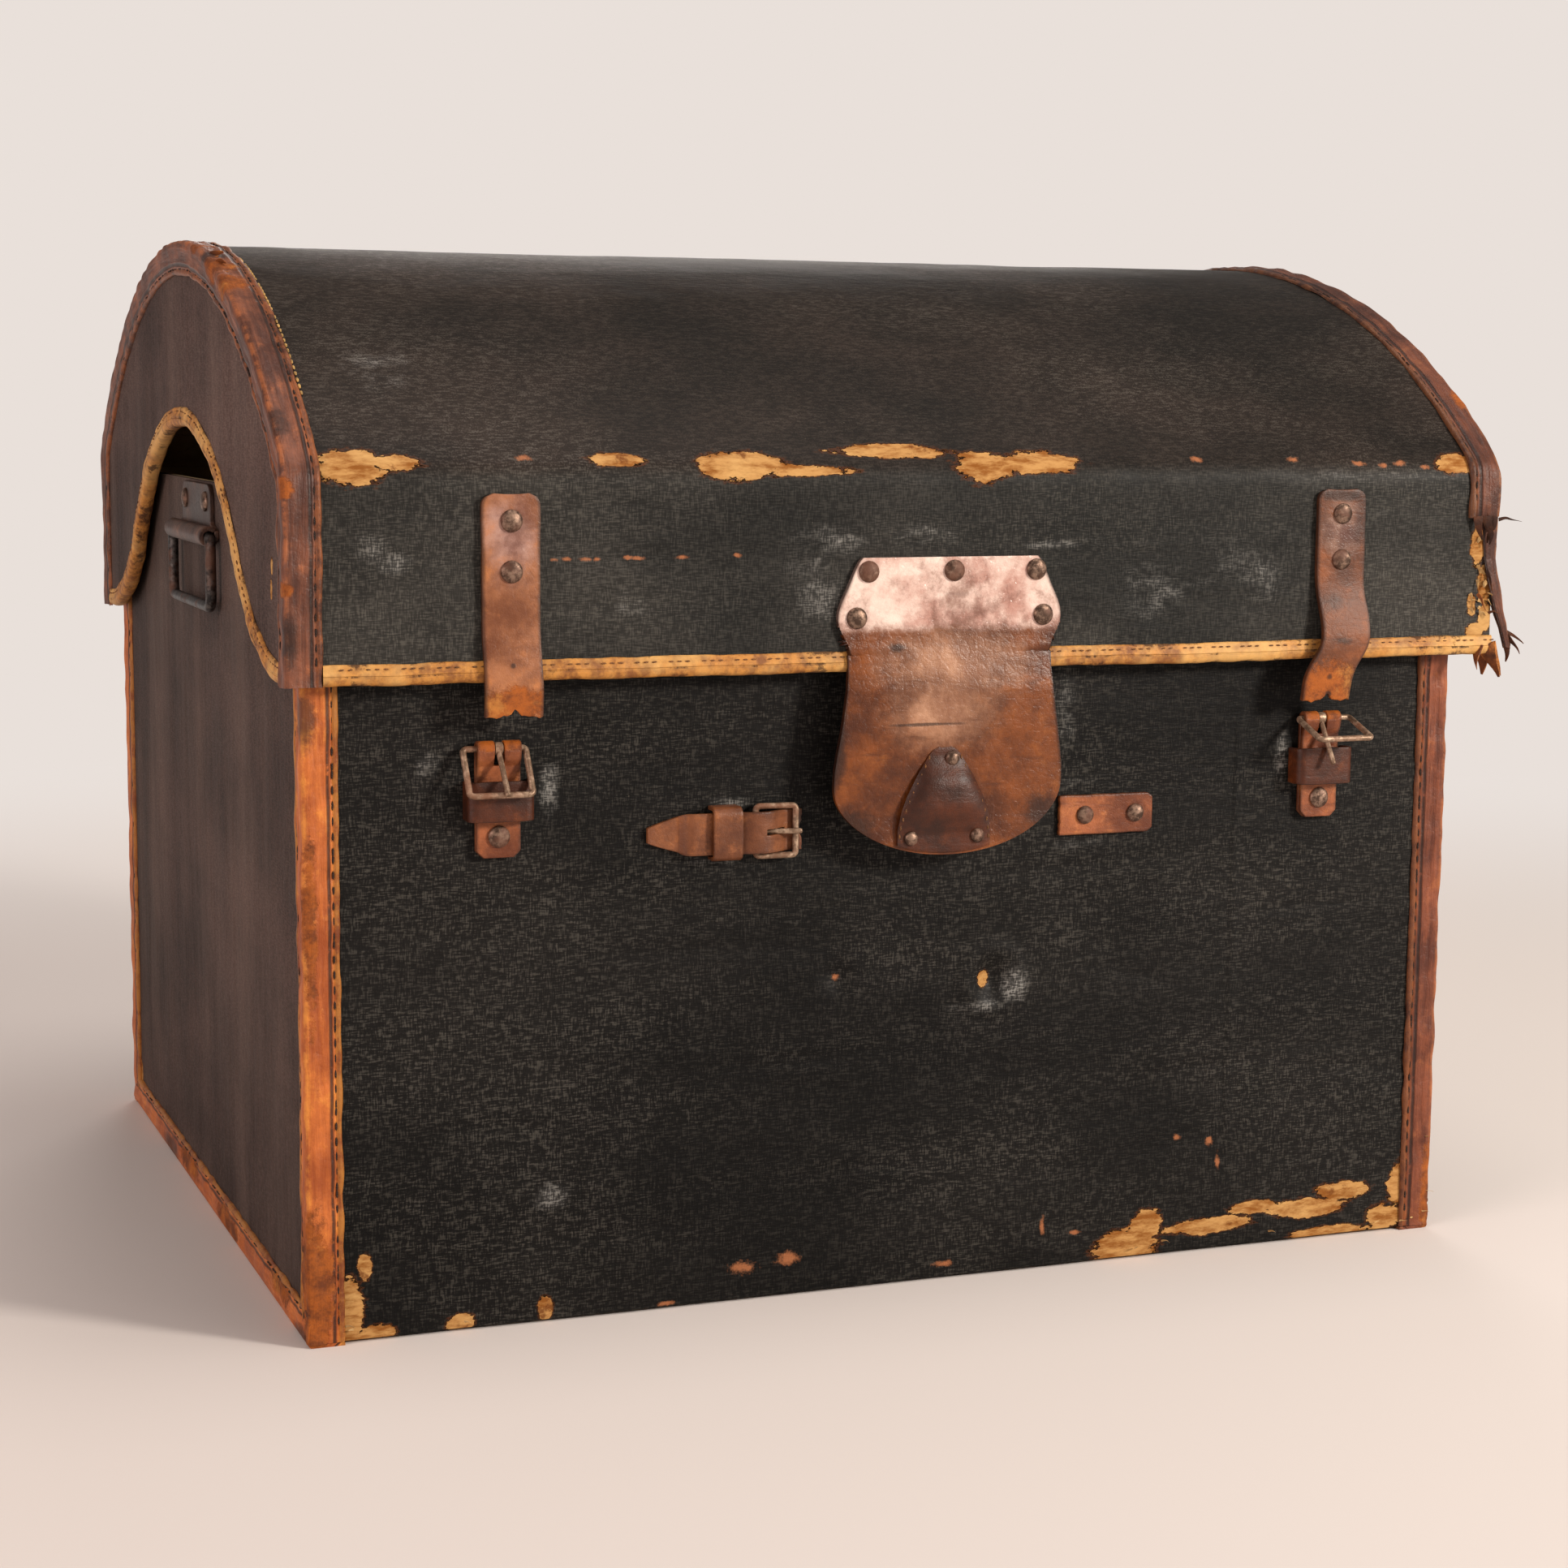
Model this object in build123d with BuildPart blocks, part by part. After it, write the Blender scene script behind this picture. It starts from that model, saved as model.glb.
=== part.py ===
"""Dome-top travelling trunk: board box, deep overlapping lid, leather edges, straps and wire buckles.

Millimetres, +Z up, front towards -Y. The origin is on the floor, under the middle of the base box.
"""
import os
from math import cos, radians, sin, sqrt

from build123d import *

os.makedirs("parts", exist_ok=True)

# Base box
base_width = 600.0
base_depth = 510.0
base_board = 5.0
floor_board = 8.0
rim_overlap = 82.0          # how far the box stands up inside the closed lid

# Lid
rim_height = 310.0          # lower edge of the lid's boards above the floor
skirt_height = 95.0         # straight part of the lid, up to where the dome springs
dome_rise = 108.0
lid_board = 4.0
lid_side_overhang = 14.0    # lid's outside beyond the box's outside, each end, when centred
lid_front_overhang = 14.0   # the same, front and rear
lid_shift = 4.5             # the loose lid sits this far towards +X
dome_seat_gap = 0.1         # between the end boards and the dome that is nailed over them

# Arched cut-out in each end of the lid, which leaves the handle free
arch_rise = 112.0
arch_crown_radius = 205.0
arch_foot_margin = 14.0     # from the cut-out's foot to the lid's corner

# Edge leather and the pale stitched rim binding
edge_leather = 1.5
edge_leg = 15.0             # width of the leather on each face of a corner
edge_round = 2.5
rim_band = 8.0              # height of the pale binding on the board
rim_skin = 1.0              # its thickness

# Straps on the lid's front, torn short
strap_leather = 3.0
strap_width = 27.0
strap_round = 10.0
strap_left_inset = 92.0     # from the box's end to the middle of the strap
strap_right_inset = 74.0
strap_top = 84.0            # above the lid's rim
strap_bend = 38.0           # above the rim, just under the lower rivet
strap_hang = 16.0           # torn end, below the rim
strap_rivet_rises = (72.0, 49.0)
bend_gap = 0.6              # between the fixed and the lifting half of a strap or flap

# Lock flap on the lid's front
flap_x = 10.5
flap_top = 53.0             # above the rim
flap_bend = 17.0            # above the rim
flap_root_half = 48.0
flap_ear_half = 58.0
flap_ear_height = 14.0
flap_neck_half = 54.0
flap_half = 60.0
flap_wide_top = 48.0        # below the rim, where the flap is widest
flap_wide_low = 63.0
flap_low = 91.0             # lowest point of its round end, below the rim
flap_round = 4.0
flap_top_rivets = (-43.0, 1.5, 45.0)
flap_top_rivet_rise = 46.5
flap_ear_rivet_x = 49.0
flap_ear_rivet_rise = 24.5

# Keeper patch on the flap, a tunnel for the cross strap
patch_x = 7.0
patch_half = 24.5
patch_top = 38.5            # below the rim
patch_tunnel_top = 49.5
patch_tunnel_low = 74.0
patch_low = 88.0
patch_leather = 2.0
patch_room = 5.0            # clear depth of the tunnel
patch_slope = 4.0
patch_round = 18.0
patch_top_rivet = 43.7
patch_low_rivet = 82.0
patch_low_rivet_x = 17.5

# Rivets
rivet_head = 5.2
rivet_head_height = 2.2
rivet_shank = 1.6
rivet_burr = 3.8
rivet_burr_thick = 0.7
cut_reach = 60.0            # deeper than any leather that is drilled or trimmed

# Strap buckles on the base
buckle_left_inset = 89.0    # from the box's end to the middle of the buckle
buckle_right_inset = 75.0
buckle_drop = 33.0          # from the lid's rim down to the buckle's back bar
chape_leather = 2.2
chape_width = 22.0
chape_length = 51.0
chape_flat = 2.5            # left between its two rounded lower corners, each side of the middle
chape_rivet = 10.0          # from the chape's lower end
prong_slot = 5.0
prong_slot_length = 7.0
wire = 1.5                  # radius of the buckle wire
wire_room = 0.05            # running clearance on the back bar
frame_width = 30.0          # between the wire's centres
frame_length = 24.0
frame_corner = 2.0
frame_play = 1.9            # each frame has slid this far outwards in its chape
frame_left_angle = 33.0     # from hanging straight down
frame_right_angle = 70.0
prong_wire = 1.3
prong_eye = 3.0
prong_eye_width = 3.6
prong_overhang = 2.5        # past the frame's end bar
prong_tip = 0.9
prong_left_angle = 41.5
prong_right_angle = 33.0
keeper_top = 15.0           # below the back bar
keeper_length = 18.0
keeper_inside = 28.0
keeper_leather = 2.0
keeper_depth = 9.0          # clear height off the wall
keeper_round = 1.5

# Cross strap, of which both ends remain on the base
cross_drop = 77.5           # from the lid's rim down to the middle of the strap
cross_width = 20.0
cross_leather = 2.5
cross_pivot_x = -84.0
cross_chape_width = 17.0
cross_chape_length = 34.0
cross_frame_width = 24.0
cross_frame_length = 20.0
cross_frame_angle = 176.0
cross_prong_angle = 166.0
cross_keeper_top = 9.0
cross_keeper_length = 14.0
cross_keeper_inside = 22.0
cross_keeper_depth = 8.2
cross_torn_end = 24.0       # past the back bar
cross_tip = 54.0            # from the back bar to the pointed end
cross_tip_cut = 7.0
cross_slit_half = 2.0       # for the prong, across the strap
cross_slit_start = 3.0      # from the back bar to the slit
cross_slit_end = 15.0
cross_lap = 0.3             # between the strap and what it lies on
cross_tab_left = 78.0
cross_tab_length = 52.0
cross_tab_round = 3.0
cross_tab_rivets = (14.0, 42.0)

# End handles
handle_pivot = 55.0         # above the lid's rim
handle_width = 112.0        # between the bail's wire centres
handle_drop = 36.0
handle_wire = 2.75
handle_corner = 6.0
handle_roll_length = 96.0
handle_leather = 2.45
handle_tab_width = 82.0
handle_tab_height = 26.0
handle_tab_round = 8.0
handle_rivet_x = 29.0
handle_rivet_rise = 17.0

# Leather hinge straps behind the trunk
hinge_inset = 106.0         # from the lid's end to the middle of the strap
hinge_width = 40.0
hinge_lid_height = 62.0
hinge_base_height = 74.0
hinge_fold = 0.15           # each half stops this far from the line on which the lid turns
hinge_slant = 24.0          # height in which the lower half reaches the box
hinge_round = 8.0
hinge_rivet_half = 11.0
hinge_rivet_rises = (22.0, 48.0)    # in the lid's half, above the hinge line
hinge_rivet_drops = (36.0, 58.0)    # in the box's half, below the hinge line

# Sizes worked out from the above
base_top = rim_height + rim_overlap
base_left = -base_width / 2
base_right = base_width / 2
base_front = -base_depth / 2
base_rear = base_depth / 2
base_height = base_top - edge_leather
lid_break = rim_height + skirt_height
lid_width = base_width + 2 * lid_side_overhang
lid_depth = base_depth + 2 * lid_front_overhang
lid_left = lid_shift - lid_width / 2
lid_right = lid_shift + lid_width / 2
lid_front = -lid_depth / 2
lid_rear = lid_depth / 2
dome_radius = (lid_depth**2 / 4 + dome_rise**2) / (2 * dome_rise)
dome_centre = lid_break + dome_rise - dome_radius
arch_foot = lid_depth / 2 - arch_foot_margin
arch_drop = arch_crown_radius - arch_rise
arch_foot_radius = (arch_foot**2 + arch_drop**2 - arch_crown_radius**2) / (2 * arch_rise)
strap_left_x = base_left + strap_left_inset
strap_right_x = base_right - strap_right_inset
buckle_left_x = base_left + buckle_left_inset
buckle_right_x = base_right - buckle_right_inset
buckle_pivot = rim_height - buckle_drop
cross_height = rim_height - cross_drop
chape_thick = 2 * chape_leather
loop_radius = wire + wire_room + chape_leather
hinge_back = lid_rear + rim_skin
hinge_z = rim_height - rim_skin

QUARTER_TURN = 90.0         # degrees
RISING = (Align.CENTER, Align.CENTER, Align.MIN)
SINKING = (Align.CENTER, Align.CENTER, Align.MAX)


def write(piece, name):
    """Labels a finished piece and writes its STEP file."""
    piece.part.label = name
    export_step(piece.part, f"parts/{name}.step")


def front_plane(y):
    """Faces -Y: local x is +X and local y is up."""
    return Plane(origin=(0, y, 0), x_dir=(1, 0, 0), z_dir=(0, -1, 0))


def rear_plane(y):
    """Faces +Y: local x is -X and local y is up."""
    return Plane(origin=(0, y, 0), x_dir=(-1, 0, 0), z_dir=(0, 1, 0))


def end_plane(x, side):
    """Faces -X for side -1 and +X for side 1, with local y up."""
    return Plane(origin=(x, 0, 0), x_dir=(0, side, 0), z_dir=(side, 0, 0))


def drill(plane, places):
    """Cuts shank holes through the piece being built, at places on a plane."""
    with BuildSketch(plane) as shanks:
        with Locations(*places):
            Circle(rivet_shank)
    extrude(shanks.sketch, amount=cut_reach, both=True, mode=Mode.SUBTRACT)


def rivets(name, planes, places, stack):
    """Domed rivets with a shank through the stack and a burr behind it."""
    head_sphere = (rivet_head**2 + rivet_head_height**2) / (2 * rivet_head_height)
    head_start = Vector(rivet_head, 0).get_angle(Vector(rivet_head, head_sphere - rivet_head_height))
    with BuildPart() as group:
        with Locations(*planes):
            with Locations(*[(u, v, 0) for u, v in places]):
                Sphere(head_sphere, arc_size1=head_start, arc_size2=QUARTER_TURN, align=RISING)
                Cylinder(rivet_shank, stack, align=SINKING)
            with Locations(*[(u, v, -stack) for u, v in places]):
                Cylinder(rivet_burr, rivet_burr_thick, align=SINKING)
    write(group, name)


# ---------------------------------------------------------------- base box

strap_rivet_places = {
    "left": [(strap_left_x, rim_height + rise) for rise in strap_rivet_rises],
    "right": [(strap_right_x, rim_height + rise) for rise in strap_rivet_rises],
}
buckle_rivet_height = buckle_pivot - chape_length + chape_rivet
buckle_rivet_places = [(buckle_left_x, buckle_rivet_height), (buckle_right_x, buckle_rivet_height)]
cross_tab_places = [(cross_tab_left + along, cross_height) for along in cross_tab_rivets]
handle_height = rim_height + handle_pivot
handle_places = [(side * handle_rivet_x, handle_height + handle_rivet_rise) for side in (-1, 1)]
hinge_middles = (lid_left + hinge_inset, lid_right - hinge_inset)
hinge_lid_places = [
    (-middle + side * hinge_rivet_half, hinge_z + rise)
    for middle in hinge_middles
    for side, rise in zip((-1, 1), hinge_rivet_rises)
]
hinge_base_places = [
    (-middle + side * hinge_rivet_half, hinge_z - drop)
    for middle in hinge_middles
    for side, drop in zip((-1, 1), hinge_rivet_drops)
]


def long_wall(name, plane, places):
    """Front or rear board of the base, as wide as the box."""
    with BuildPart() as wall:
        with BuildSketch(plane):
            with Locations((0, edge_leather)):
                Rectangle(base_width, base_height, align=(Align.CENTER, Align.MIN))
            with Locations(*places):
                Circle(rivet_shank, mode=Mode.SUBTRACT)
        extrude(amount=-base_board)
    write(wall, name)


def end_wall(name, plane):
    """End board of the base, between the front and rear boards."""
    with BuildPart() as wall:
        with BuildSketch(plane):
            with Locations((0, edge_leather)):
                Rectangle(base_depth - 2 * base_board, base_height, align=(Align.CENTER, Align.MIN))
            with Locations(*handle_places):
                Circle(rivet_shank, mode=Mode.SUBTRACT)
        extrude(amount=-base_board)
    write(wall, name)


long_wall(
    "base_front_board",
    front_plane(base_front),
    buckle_rivet_places + cross_tab_places,
)
long_wall("base_rear_board", rear_plane(base_rear), hinge_base_places)
end_wall("base_left_board", end_plane(base_left, -1))
end_wall("base_right_board", end_plane(base_right, 1))

with BuildPart() as base_floor:
    with BuildSketch(Plane.XY.offset(edge_leather)):
        Rectangle(base_width - 2 * base_board, base_depth - 2 * base_board)
    extrude(amount=floor_board)
write(base_floor, "base_floor_board")


def bottom_binding(name, side):
    """Leather angle under one end of the base: it wraps the end board's lower edge."""
    with BuildPart() as strip:
        with BuildSketch(Plane.XZ.offset(edge_leather - base_front)):
            with Locations((side * (base_width / 2 + edge_leather), 0)):
                outer = Align.MIN if side < 0 else Align.MAX
                Rectangle(edge_leg + edge_leather, edge_leg, align=(outer, Align.MIN))
            with Locations((side * base_width / 2, edge_leather)):
                Rectangle(edge_leg, edge_leg, align=(outer, Align.MIN), mode=Mode.SUBTRACT)
        extrude(amount=-(base_depth + 2 * edge_leather))
    write(strip, name)


def corner_binding(name, side, face):
    """Leather angle up one corner of the base, standing on the bottom binding."""
    outer_x = side * (base_width / 2 + edge_leather)
    outer_y = face * (base_depth / 2 + edge_leather)
    align_x = Align.MIN if side < 0 else Align.MAX
    align_y = Align.MIN if face < 0 else Align.MAX
    with BuildPart() as strip:
        with BuildSketch(Plane.XY.offset(edge_leather)) as section:
            with Locations((outer_x, outer_y)):
                Rectangle(edge_leg + edge_leather, edge_leg + edge_leather, align=(align_x, align_y))
            fillet(section.vertices().sort_by_distance((outer_x, outer_y, edge_leather))[0], edge_round)
            with Locations((side * base_width / 2, face * base_depth / 2)):
                Rectangle(edge_leg, edge_leg, align=(align_x, align_y), mode=Mode.SUBTRACT)
        extrude(amount=base_height)
        with Locations((outer_x, outer_y, 0)):
            foot = (align_x, align_y, Align.MIN)
            Box(edge_leather, edge_leg + edge_leather, edge_leg, align=foot, mode=Mode.SUBTRACT)
    write(strip, name)


for side, side_name in ((-1, "left"), (1, "right")):
    bottom_binding(f"base_bottom_binding_{side_name}", side)
    for face, face_name in ((-1, "front"), (1, "rear")):
        corner_binding(f"base_corner_binding_{face_name}_{side_name}", side, face)

# --------------------------------------------------------------------- lid


def lid_outline(grow):
    """Side outline of the lid grown outwards: straight skirt, then the dome."""
    half = lid_depth / 2 + grow
    radius = dome_radius + grow
    spring = dome_centre + sqrt(radius**2 - half**2)
    with BuildLine() as outline:
        Polyline((half, spring), (half, rim_height), (-half, rim_height), (-half, spring))
        ThreePointArc((-half, spring), (0, dome_centre + radius), (half, spring))
    make_face(outline.edges())


def arch_opening(grow, mode):
    """The bell-shaped cut-out, grown into the board, and everything below the lid's rim."""
    crown = Vector(0, rim_height + arch_rise - arch_crown_radius)
    crown_radius = arch_crown_radius + grow
    foot_radius = arch_foot_radius - grow
    wide = lid_depth
    with BuildLine() as outline:
        Line((-wide, 0), (wide, 0))
        for side in (-1, 1):
            foot = Vector(side * arch_foot, rim_height + arch_foot_radius)
            towards_foot = (foot - crown).normalized()
            meeting = crown + towards_foot * crown_radius
            toe = foot + Vector(0, -foot_radius)
            foot_middle = (Vector(0, -1) - towards_foot).normalized()
            crown_middle = (Vector(0, 1) + towards_foot).normalized()
            Line((side * wide, 0), (side * wide, rim_height + grow))
            Line((side * wide, rim_height + grow), toe)
            ThreePointArc(toe, foot + foot_middle * foot_radius, meeting)
            ThreePointArc(meeting, crown + crown_middle * crown_radius, crown + Vector(0, crown_radius))
    make_face(outline.edges(), mode=mode)


def lid_long_wall(name, plane, places):
    """Front or rear board of the lid, as wide as the lid."""
    with BuildPart() as wall:
        with BuildSketch(plane):
            middle = plane.x_dir.X * lid_shift
            with Locations((middle, rim_height)):
                Rectangle(lid_width, skirt_height, align=(Align.CENTER, Align.MIN))
            with Locations(*places):
                Circle(rivet_shank, mode=Mode.SUBTRACT)
        extrude(amount=-lid_board)
    write(wall, name)


flap_top_places = [(flap_x + along, rim_height + flap_top_rivet_rise) for along in flap_top_rivets]
flap_ear_places = [(flap_x + side * flap_ear_rivet_x, rim_height + flap_ear_rivet_rise) for side in (-1, 1)]
flap_places = flap_top_places + flap_ear_places
strap_places = strap_rivet_places["left"] + strap_rivet_places["right"]

lid_long_wall("lid_front_board", front_plane(lid_front), strap_places + flap_places)
lid_long_wall("lid_rear_board", rear_plane(lid_rear), hinge_lid_places)


def lid_end_wall(name, outer_x, side):
    """Arched end board of the lid with its bell-shaped cut-out."""
    with BuildPart() as wall:
        with BuildSketch(end_plane(outer_x, side)):
            lid_outline(-lid_board - dome_seat_gap)
            with Locations((0, rim_height)):
                Rectangle(lid_depth - 2 * lid_board, skirt_height, align=(Align.CENTER, Align.MIN))
            arch_opening(0, Mode.SUBTRACT)
        extrude(amount=-lid_board)
    write(wall, name)


def arch_binding(name, outer_x, side):
    """Pale channel that wraps the edge of the cut-out, between the corner leathers."""
    clear_width = lid_depth - 2 * edge_leg
    with BuildPart() as band:
        with BuildSketch(end_plane(outer_x + side * rim_skin, side)):
            arch_opening(rim_band, Mode.ADD)
            arch_opening(-rim_skin, Mode.SUBTRACT)
            Rectangle(clear_width, 2 * (lid_break + dome_rise), mode=Mode.INTERSECT)
        extrude(amount=-(lid_board + 2 * rim_skin))
        with BuildSketch(end_plane(outer_x, side)):
            arch_opening(2 * rim_band, Mode.ADD)
            arch_opening(0, Mode.SUBTRACT)
        extrude(amount=-lid_board, mode=Mode.SUBTRACT)
    write(band, name)


def lid_end_binding(name, outer_x, side):
    """Leather angle round the end of the lid: up one corner, over the dome and down the other."""
    with BuildPart() as strip:
        with BuildSketch(Plane.YZ.offset(outer_x + side * edge_leather)):
            lid_outline(edge_leather)
        extrude(amount=-side * (edge_leg + edge_leather))
        with BuildSketch(Plane.YZ.offset(outer_x)):
            lid_outline(0)
        extrude(amount=-side * edge_leg, mode=Mode.SUBTRACT)
        with BuildSketch(Plane.YZ.offset(outer_x + side * edge_leather)):
            lid_outline(-edge_leg)
        extrude(amount=-side * edge_leather, mode=Mode.SUBTRACT)
    write(strip, name)


for side, outer_x, side_name in ((-1, lid_left, "left"), (1, lid_right, "right")):
    lid_end_wall(f"lid_{side_name}_board", outer_x, side)
    arch_binding(f"rim_binding_{side_name}_arch", outer_x, side)
    lid_end_binding(f"lid_end_binding_{side_name}", outer_x, side)

with BuildPart() as dome:
    with BuildSketch(Plane.YZ.offset(lid_left)):
        with Locations((0, dome_centre)):
            Circle(dome_radius)
            Circle(dome_radius - lid_board, mode=Mode.SUBTRACT)
        with Locations((0, lid_break)):
            Rectangle(lid_depth, dome_rise, align=(Align.CENTER, Align.MIN), mode=Mode.INTERSECT)
    extrude(amount=lid_width)
write(dome, "lid_dome_board")


def rim_channel(name, face):
    """Pale channel on the front or rear rim, between the corner leathers."""
    with BuildPart() as band:
        with BuildSketch(Plane.YZ.offset(lid_left + edge_leg)):
            with Locations((face * (lid_depth / 2 + rim_skin), rim_height - rim_skin)):
                outer = Align.MIN if face < 0 else Align.MAX
                Rectangle(lid_board + 2 * rim_skin, rim_band + rim_skin, align=(outer, Align.MIN))
            with Locations((face * lid_depth / 2, rim_height)):
                Rectangle(lid_board, rim_band, align=(outer, Align.MIN), mode=Mode.SUBTRACT)
        extrude(amount=lid_width - 2 * edge_leg)
    write(band, name)


rim_channel("rim_binding_front", -1)
rim_channel("rim_binding_rear", 1)

# ------------------------------------------------------ leather on the lid


def strip_profile(run, outward):
    """Section of a strip: its back follows run, and its face is one thickness outwards."""
    face_run = [(y + outward, z) for y, z in reversed(run)]
    with BuildLine() as outline:
        Polyline(*run, *face_run, close=True)
    make_face(outline.edges())


strap_tail_run = [
    (lid_front, rim_height + strap_bend - bend_gap),
    (lid_front, rim_height + rim_band + strap_leather),
    (lid_front - rim_skin, rim_height + rim_band),
    (lid_front - rim_skin, rim_height - strap_hang),
]


def strap(name, middle, places):
    """One lid strap: the riveted upper half and the torn end that lifts."""
    with BuildPart() as upper:
        with BuildSketch(front_plane(lid_front)):
            with Locations((middle, rim_height + strap_bend)):
                Rectangle(strap_width, strap_top - strap_bend, align=(Align.CENTER, Align.MIN))
            with Locations(*places):
                Circle(rivet_shank, mode=Mode.SUBTRACT)
        extrude(amount=strap_leather)
        fillet(upper.edges().filter_by(Axis.Y).group_by(Axis.Z)[-1], strap_round)
    write(upper, f"{name}_top")
    with BuildPart() as tail:
        with BuildSketch(Plane.YZ.offset(middle - strap_width / 2)):
            strip_profile(strap_tail_run, -strap_leather)
        extrude(amount=strap_width)
    write(tail, f"{name}_torn_end")


strap("strap_left", strap_left_x, strap_rivet_places["left"])
strap("strap_right", strap_right_x, strap_rivet_places["right"])
rivets("strap_rivets", [front_plane(lid_front - strap_leather)], strap_places, strap_leather + lid_board)

with BuildPart() as flap_root:
    with BuildSketch(front_plane(lid_front)):
        with Locations((flap_x, rim_height + flap_bend)):
            Rectangle(2 * flap_root_half, flap_top - flap_bend, align=(Align.CENTER, Align.MIN))
            RectangleRounded(
                2 * flap_ear_half, flap_ear_height, flap_round, align=(Align.CENTER, Align.MIN)
            )
        with Locations(*flap_places):
            Circle(rivet_shank, mode=Mode.SUBTRACT)
    extrude(amount=strap_leather)
write(flap_root, "lock_flap_top")
rivets("lock_flap_rivets", [front_plane(lid_front - strap_leather)], flap_places, strap_leather + lid_board)

flap_start = rim_height + flap_bend - bend_gap
flap_run = [
    (lid_front, flap_start),
    (lid_front - rim_skin, rim_height + rim_band + bend_gap),
    (lid_front - rim_skin - bend_gap, rim_height),
    (lid_front - rim_skin - bend_gap, rim_height - flap_low),
]
flap_face = lid_front - rim_skin - bend_gap - strap_leather
patch_rivet_places = [
    (flap_x, rim_height - patch_top_rivet),
    (patch_x - patch_low_rivet_x, rim_height - patch_low_rivet),
    (patch_x + patch_low_rivet_x, rim_height - patch_low_rivet),
]

with BuildPart() as flap:
    with BuildSketch(Plane.YZ.offset(flap_x - flap_half)):
        strip_profile(flap_run, -strap_leather)
    extrude(amount=2 * flap_half)
    with BuildSketch(front_plane(lid_front)):
        with BuildLine():
            Polyline(
                (flap_x - flap_half, rim_height - flap_wide_low),
                (flap_x - flap_half, rim_height - flap_wide_top),
                (flap_x - flap_neck_half, flap_start),
                (flap_x + flap_neck_half, flap_start),
                (flap_x + flap_half, rim_height - flap_wide_top),
                (flap_x + flap_half, rim_height - flap_wide_low),
            )
            ThreePointArc(
                (flap_x + flap_half, rim_height - flap_wide_low),
                (flap_x, rim_height - flap_low),
                (flap_x - flap_half, rim_height - flap_wide_low),
            )
        make_face()
    extrude(amount=cut_reach, mode=Mode.INTERSECT)
    drill(front_plane(flap_face), patch_rivet_places)
write(flap, "lock_flap")

patch_face = flap_face - patch_room
patch_run = [
    (flap_face, rim_height - patch_top),
    (flap_face, rim_height - patch_tunnel_top),
    (patch_face, rim_height - patch_tunnel_top - patch_slope),
    (patch_face, rim_height - patch_tunnel_low + patch_slope),
    (flap_face, rim_height - patch_tunnel_low),
    (flap_face, rim_height - patch_low),
]

with BuildPart() as patch:
    with BuildSketch(Plane.YZ.offset(patch_x - patch_half)):
        strip_profile(patch_run, -patch_leather)
    extrude(amount=2 * patch_half)
    with BuildSketch(front_plane(lid_front)) as arch:
        with Locations((patch_x, rim_height - patch_low)):
            Rectangle(2 * patch_half, patch_low - patch_top, align=(Align.CENTER, Align.MIN))
        fillet(arch.vertices().group_by(Axis.Z)[-1], patch_round)
    extrude(amount=cut_reach, mode=Mode.INTERSECT)
    drill(front_plane(flap_face), patch_rivet_places)
write(patch, "flap_keeper")
rivets(
    "flap_keeper_rivets",
    [front_plane(flap_face - patch_leather)],
    patch_rivet_places,
    patch_leather + strap_leather,
)

# ----------------------------------------------------------------- buckles


def buckle_plane(x, z):
    """On the base's front, with local y towards the strap that comes down from the lid."""
    return Plane(origin=(x, base_front, z), x_dir=(1, 0, 0), z_dir=(0, -1, 0))


def swung_plane(plane, angle, slide):
    """Plane of a buckle frame on its back bar, turned outwards from hanging by an angle."""
    bar = plane.from_local_coords(Vector(slide, 0, loop_radius))
    turn = radians(angle)
    normal = plane.z_dir * cos(turn) + plane.y_dir * sin(turn)
    return Plane(origin=bar, x_dir=plane.x_dir, z_dir=normal)


def chape(name, plane, width, length, rivet_insets):
    """Doubled leather that holds a buckle: a loop for the back bar, slotted for the prong."""
    with BuildPart(plane) as leather:
        with Locations((0, 0, 0)):
            Box(width, length, chape_thick, align=(Align.CENTER, Align.MAX, Align.MIN))
        lower_corners = leather.edges().filter_by(Axis.Y).sort_by_distance(plane.origin)[-2:]
        fillet(lower_corners, width / 2 - chape_flat)
        with Locations((0, 0, loop_radius)):
            Cylinder(loop_radius, width, rotation=(0, QUARTER_TURN, 0))
            Cylinder(wire + wire_room, width, rotation=(0, QUARTER_TURN, 0), mode=Mode.SUBTRACT)
            Box(prong_slot, 2 * prong_slot_length, 2 * loop_radius, mode=Mode.SUBTRACT)
        for inset in rivet_insets:
            with Locations((0, inset - length, 0)):
                Cylinder(rivet_shank, cut_reach, mode=Mode.SUBTRACT)
    write(leather, name)


def keeper(name, plane, top, length, inside, depth):
    """Leather loop stitched over the chape, which holds the strap's loose end down."""
    with BuildPart(plane) as loop:
        with Locations((0, -top, 0)):
            outside = inside + 2 * keeper_leather
            up = (Align.CENTER, Align.MAX, Align.MIN)
            Box(outside, length, depth + keeper_leather, align=up)
            along = Axis(plane.origin, plane.y_dir)
            fillet(loop.faces().sort_by(Axis.Y)[0].edges().filter_by(along), keeper_round)
            Box(inside, length, depth, align=up, mode=Mode.SUBTRACT)
    write(loop, name)


def wire_ring(name, plane, width, length, radius, corner):
    """Closed wire frame: its back bar is on the plane's x axis, and it reaches towards local -y."""
    with BuildPart() as ring:
        with BuildLine(plane) as path:
            FilletPolyline(
                (0, 0),
                (width / 2, 0),
                (width / 2, -length),
                (-width / 2, -length),
                (-width / 2, 0),
                (0, 0),
                radius=(0, corner, corner, corner, corner),
            )
        with BuildSketch(Plane(origin=path.line @ 0, z_dir=path.line % 0)):
            Circle(radius)
        sweep()
    write(ring, name)


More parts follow.
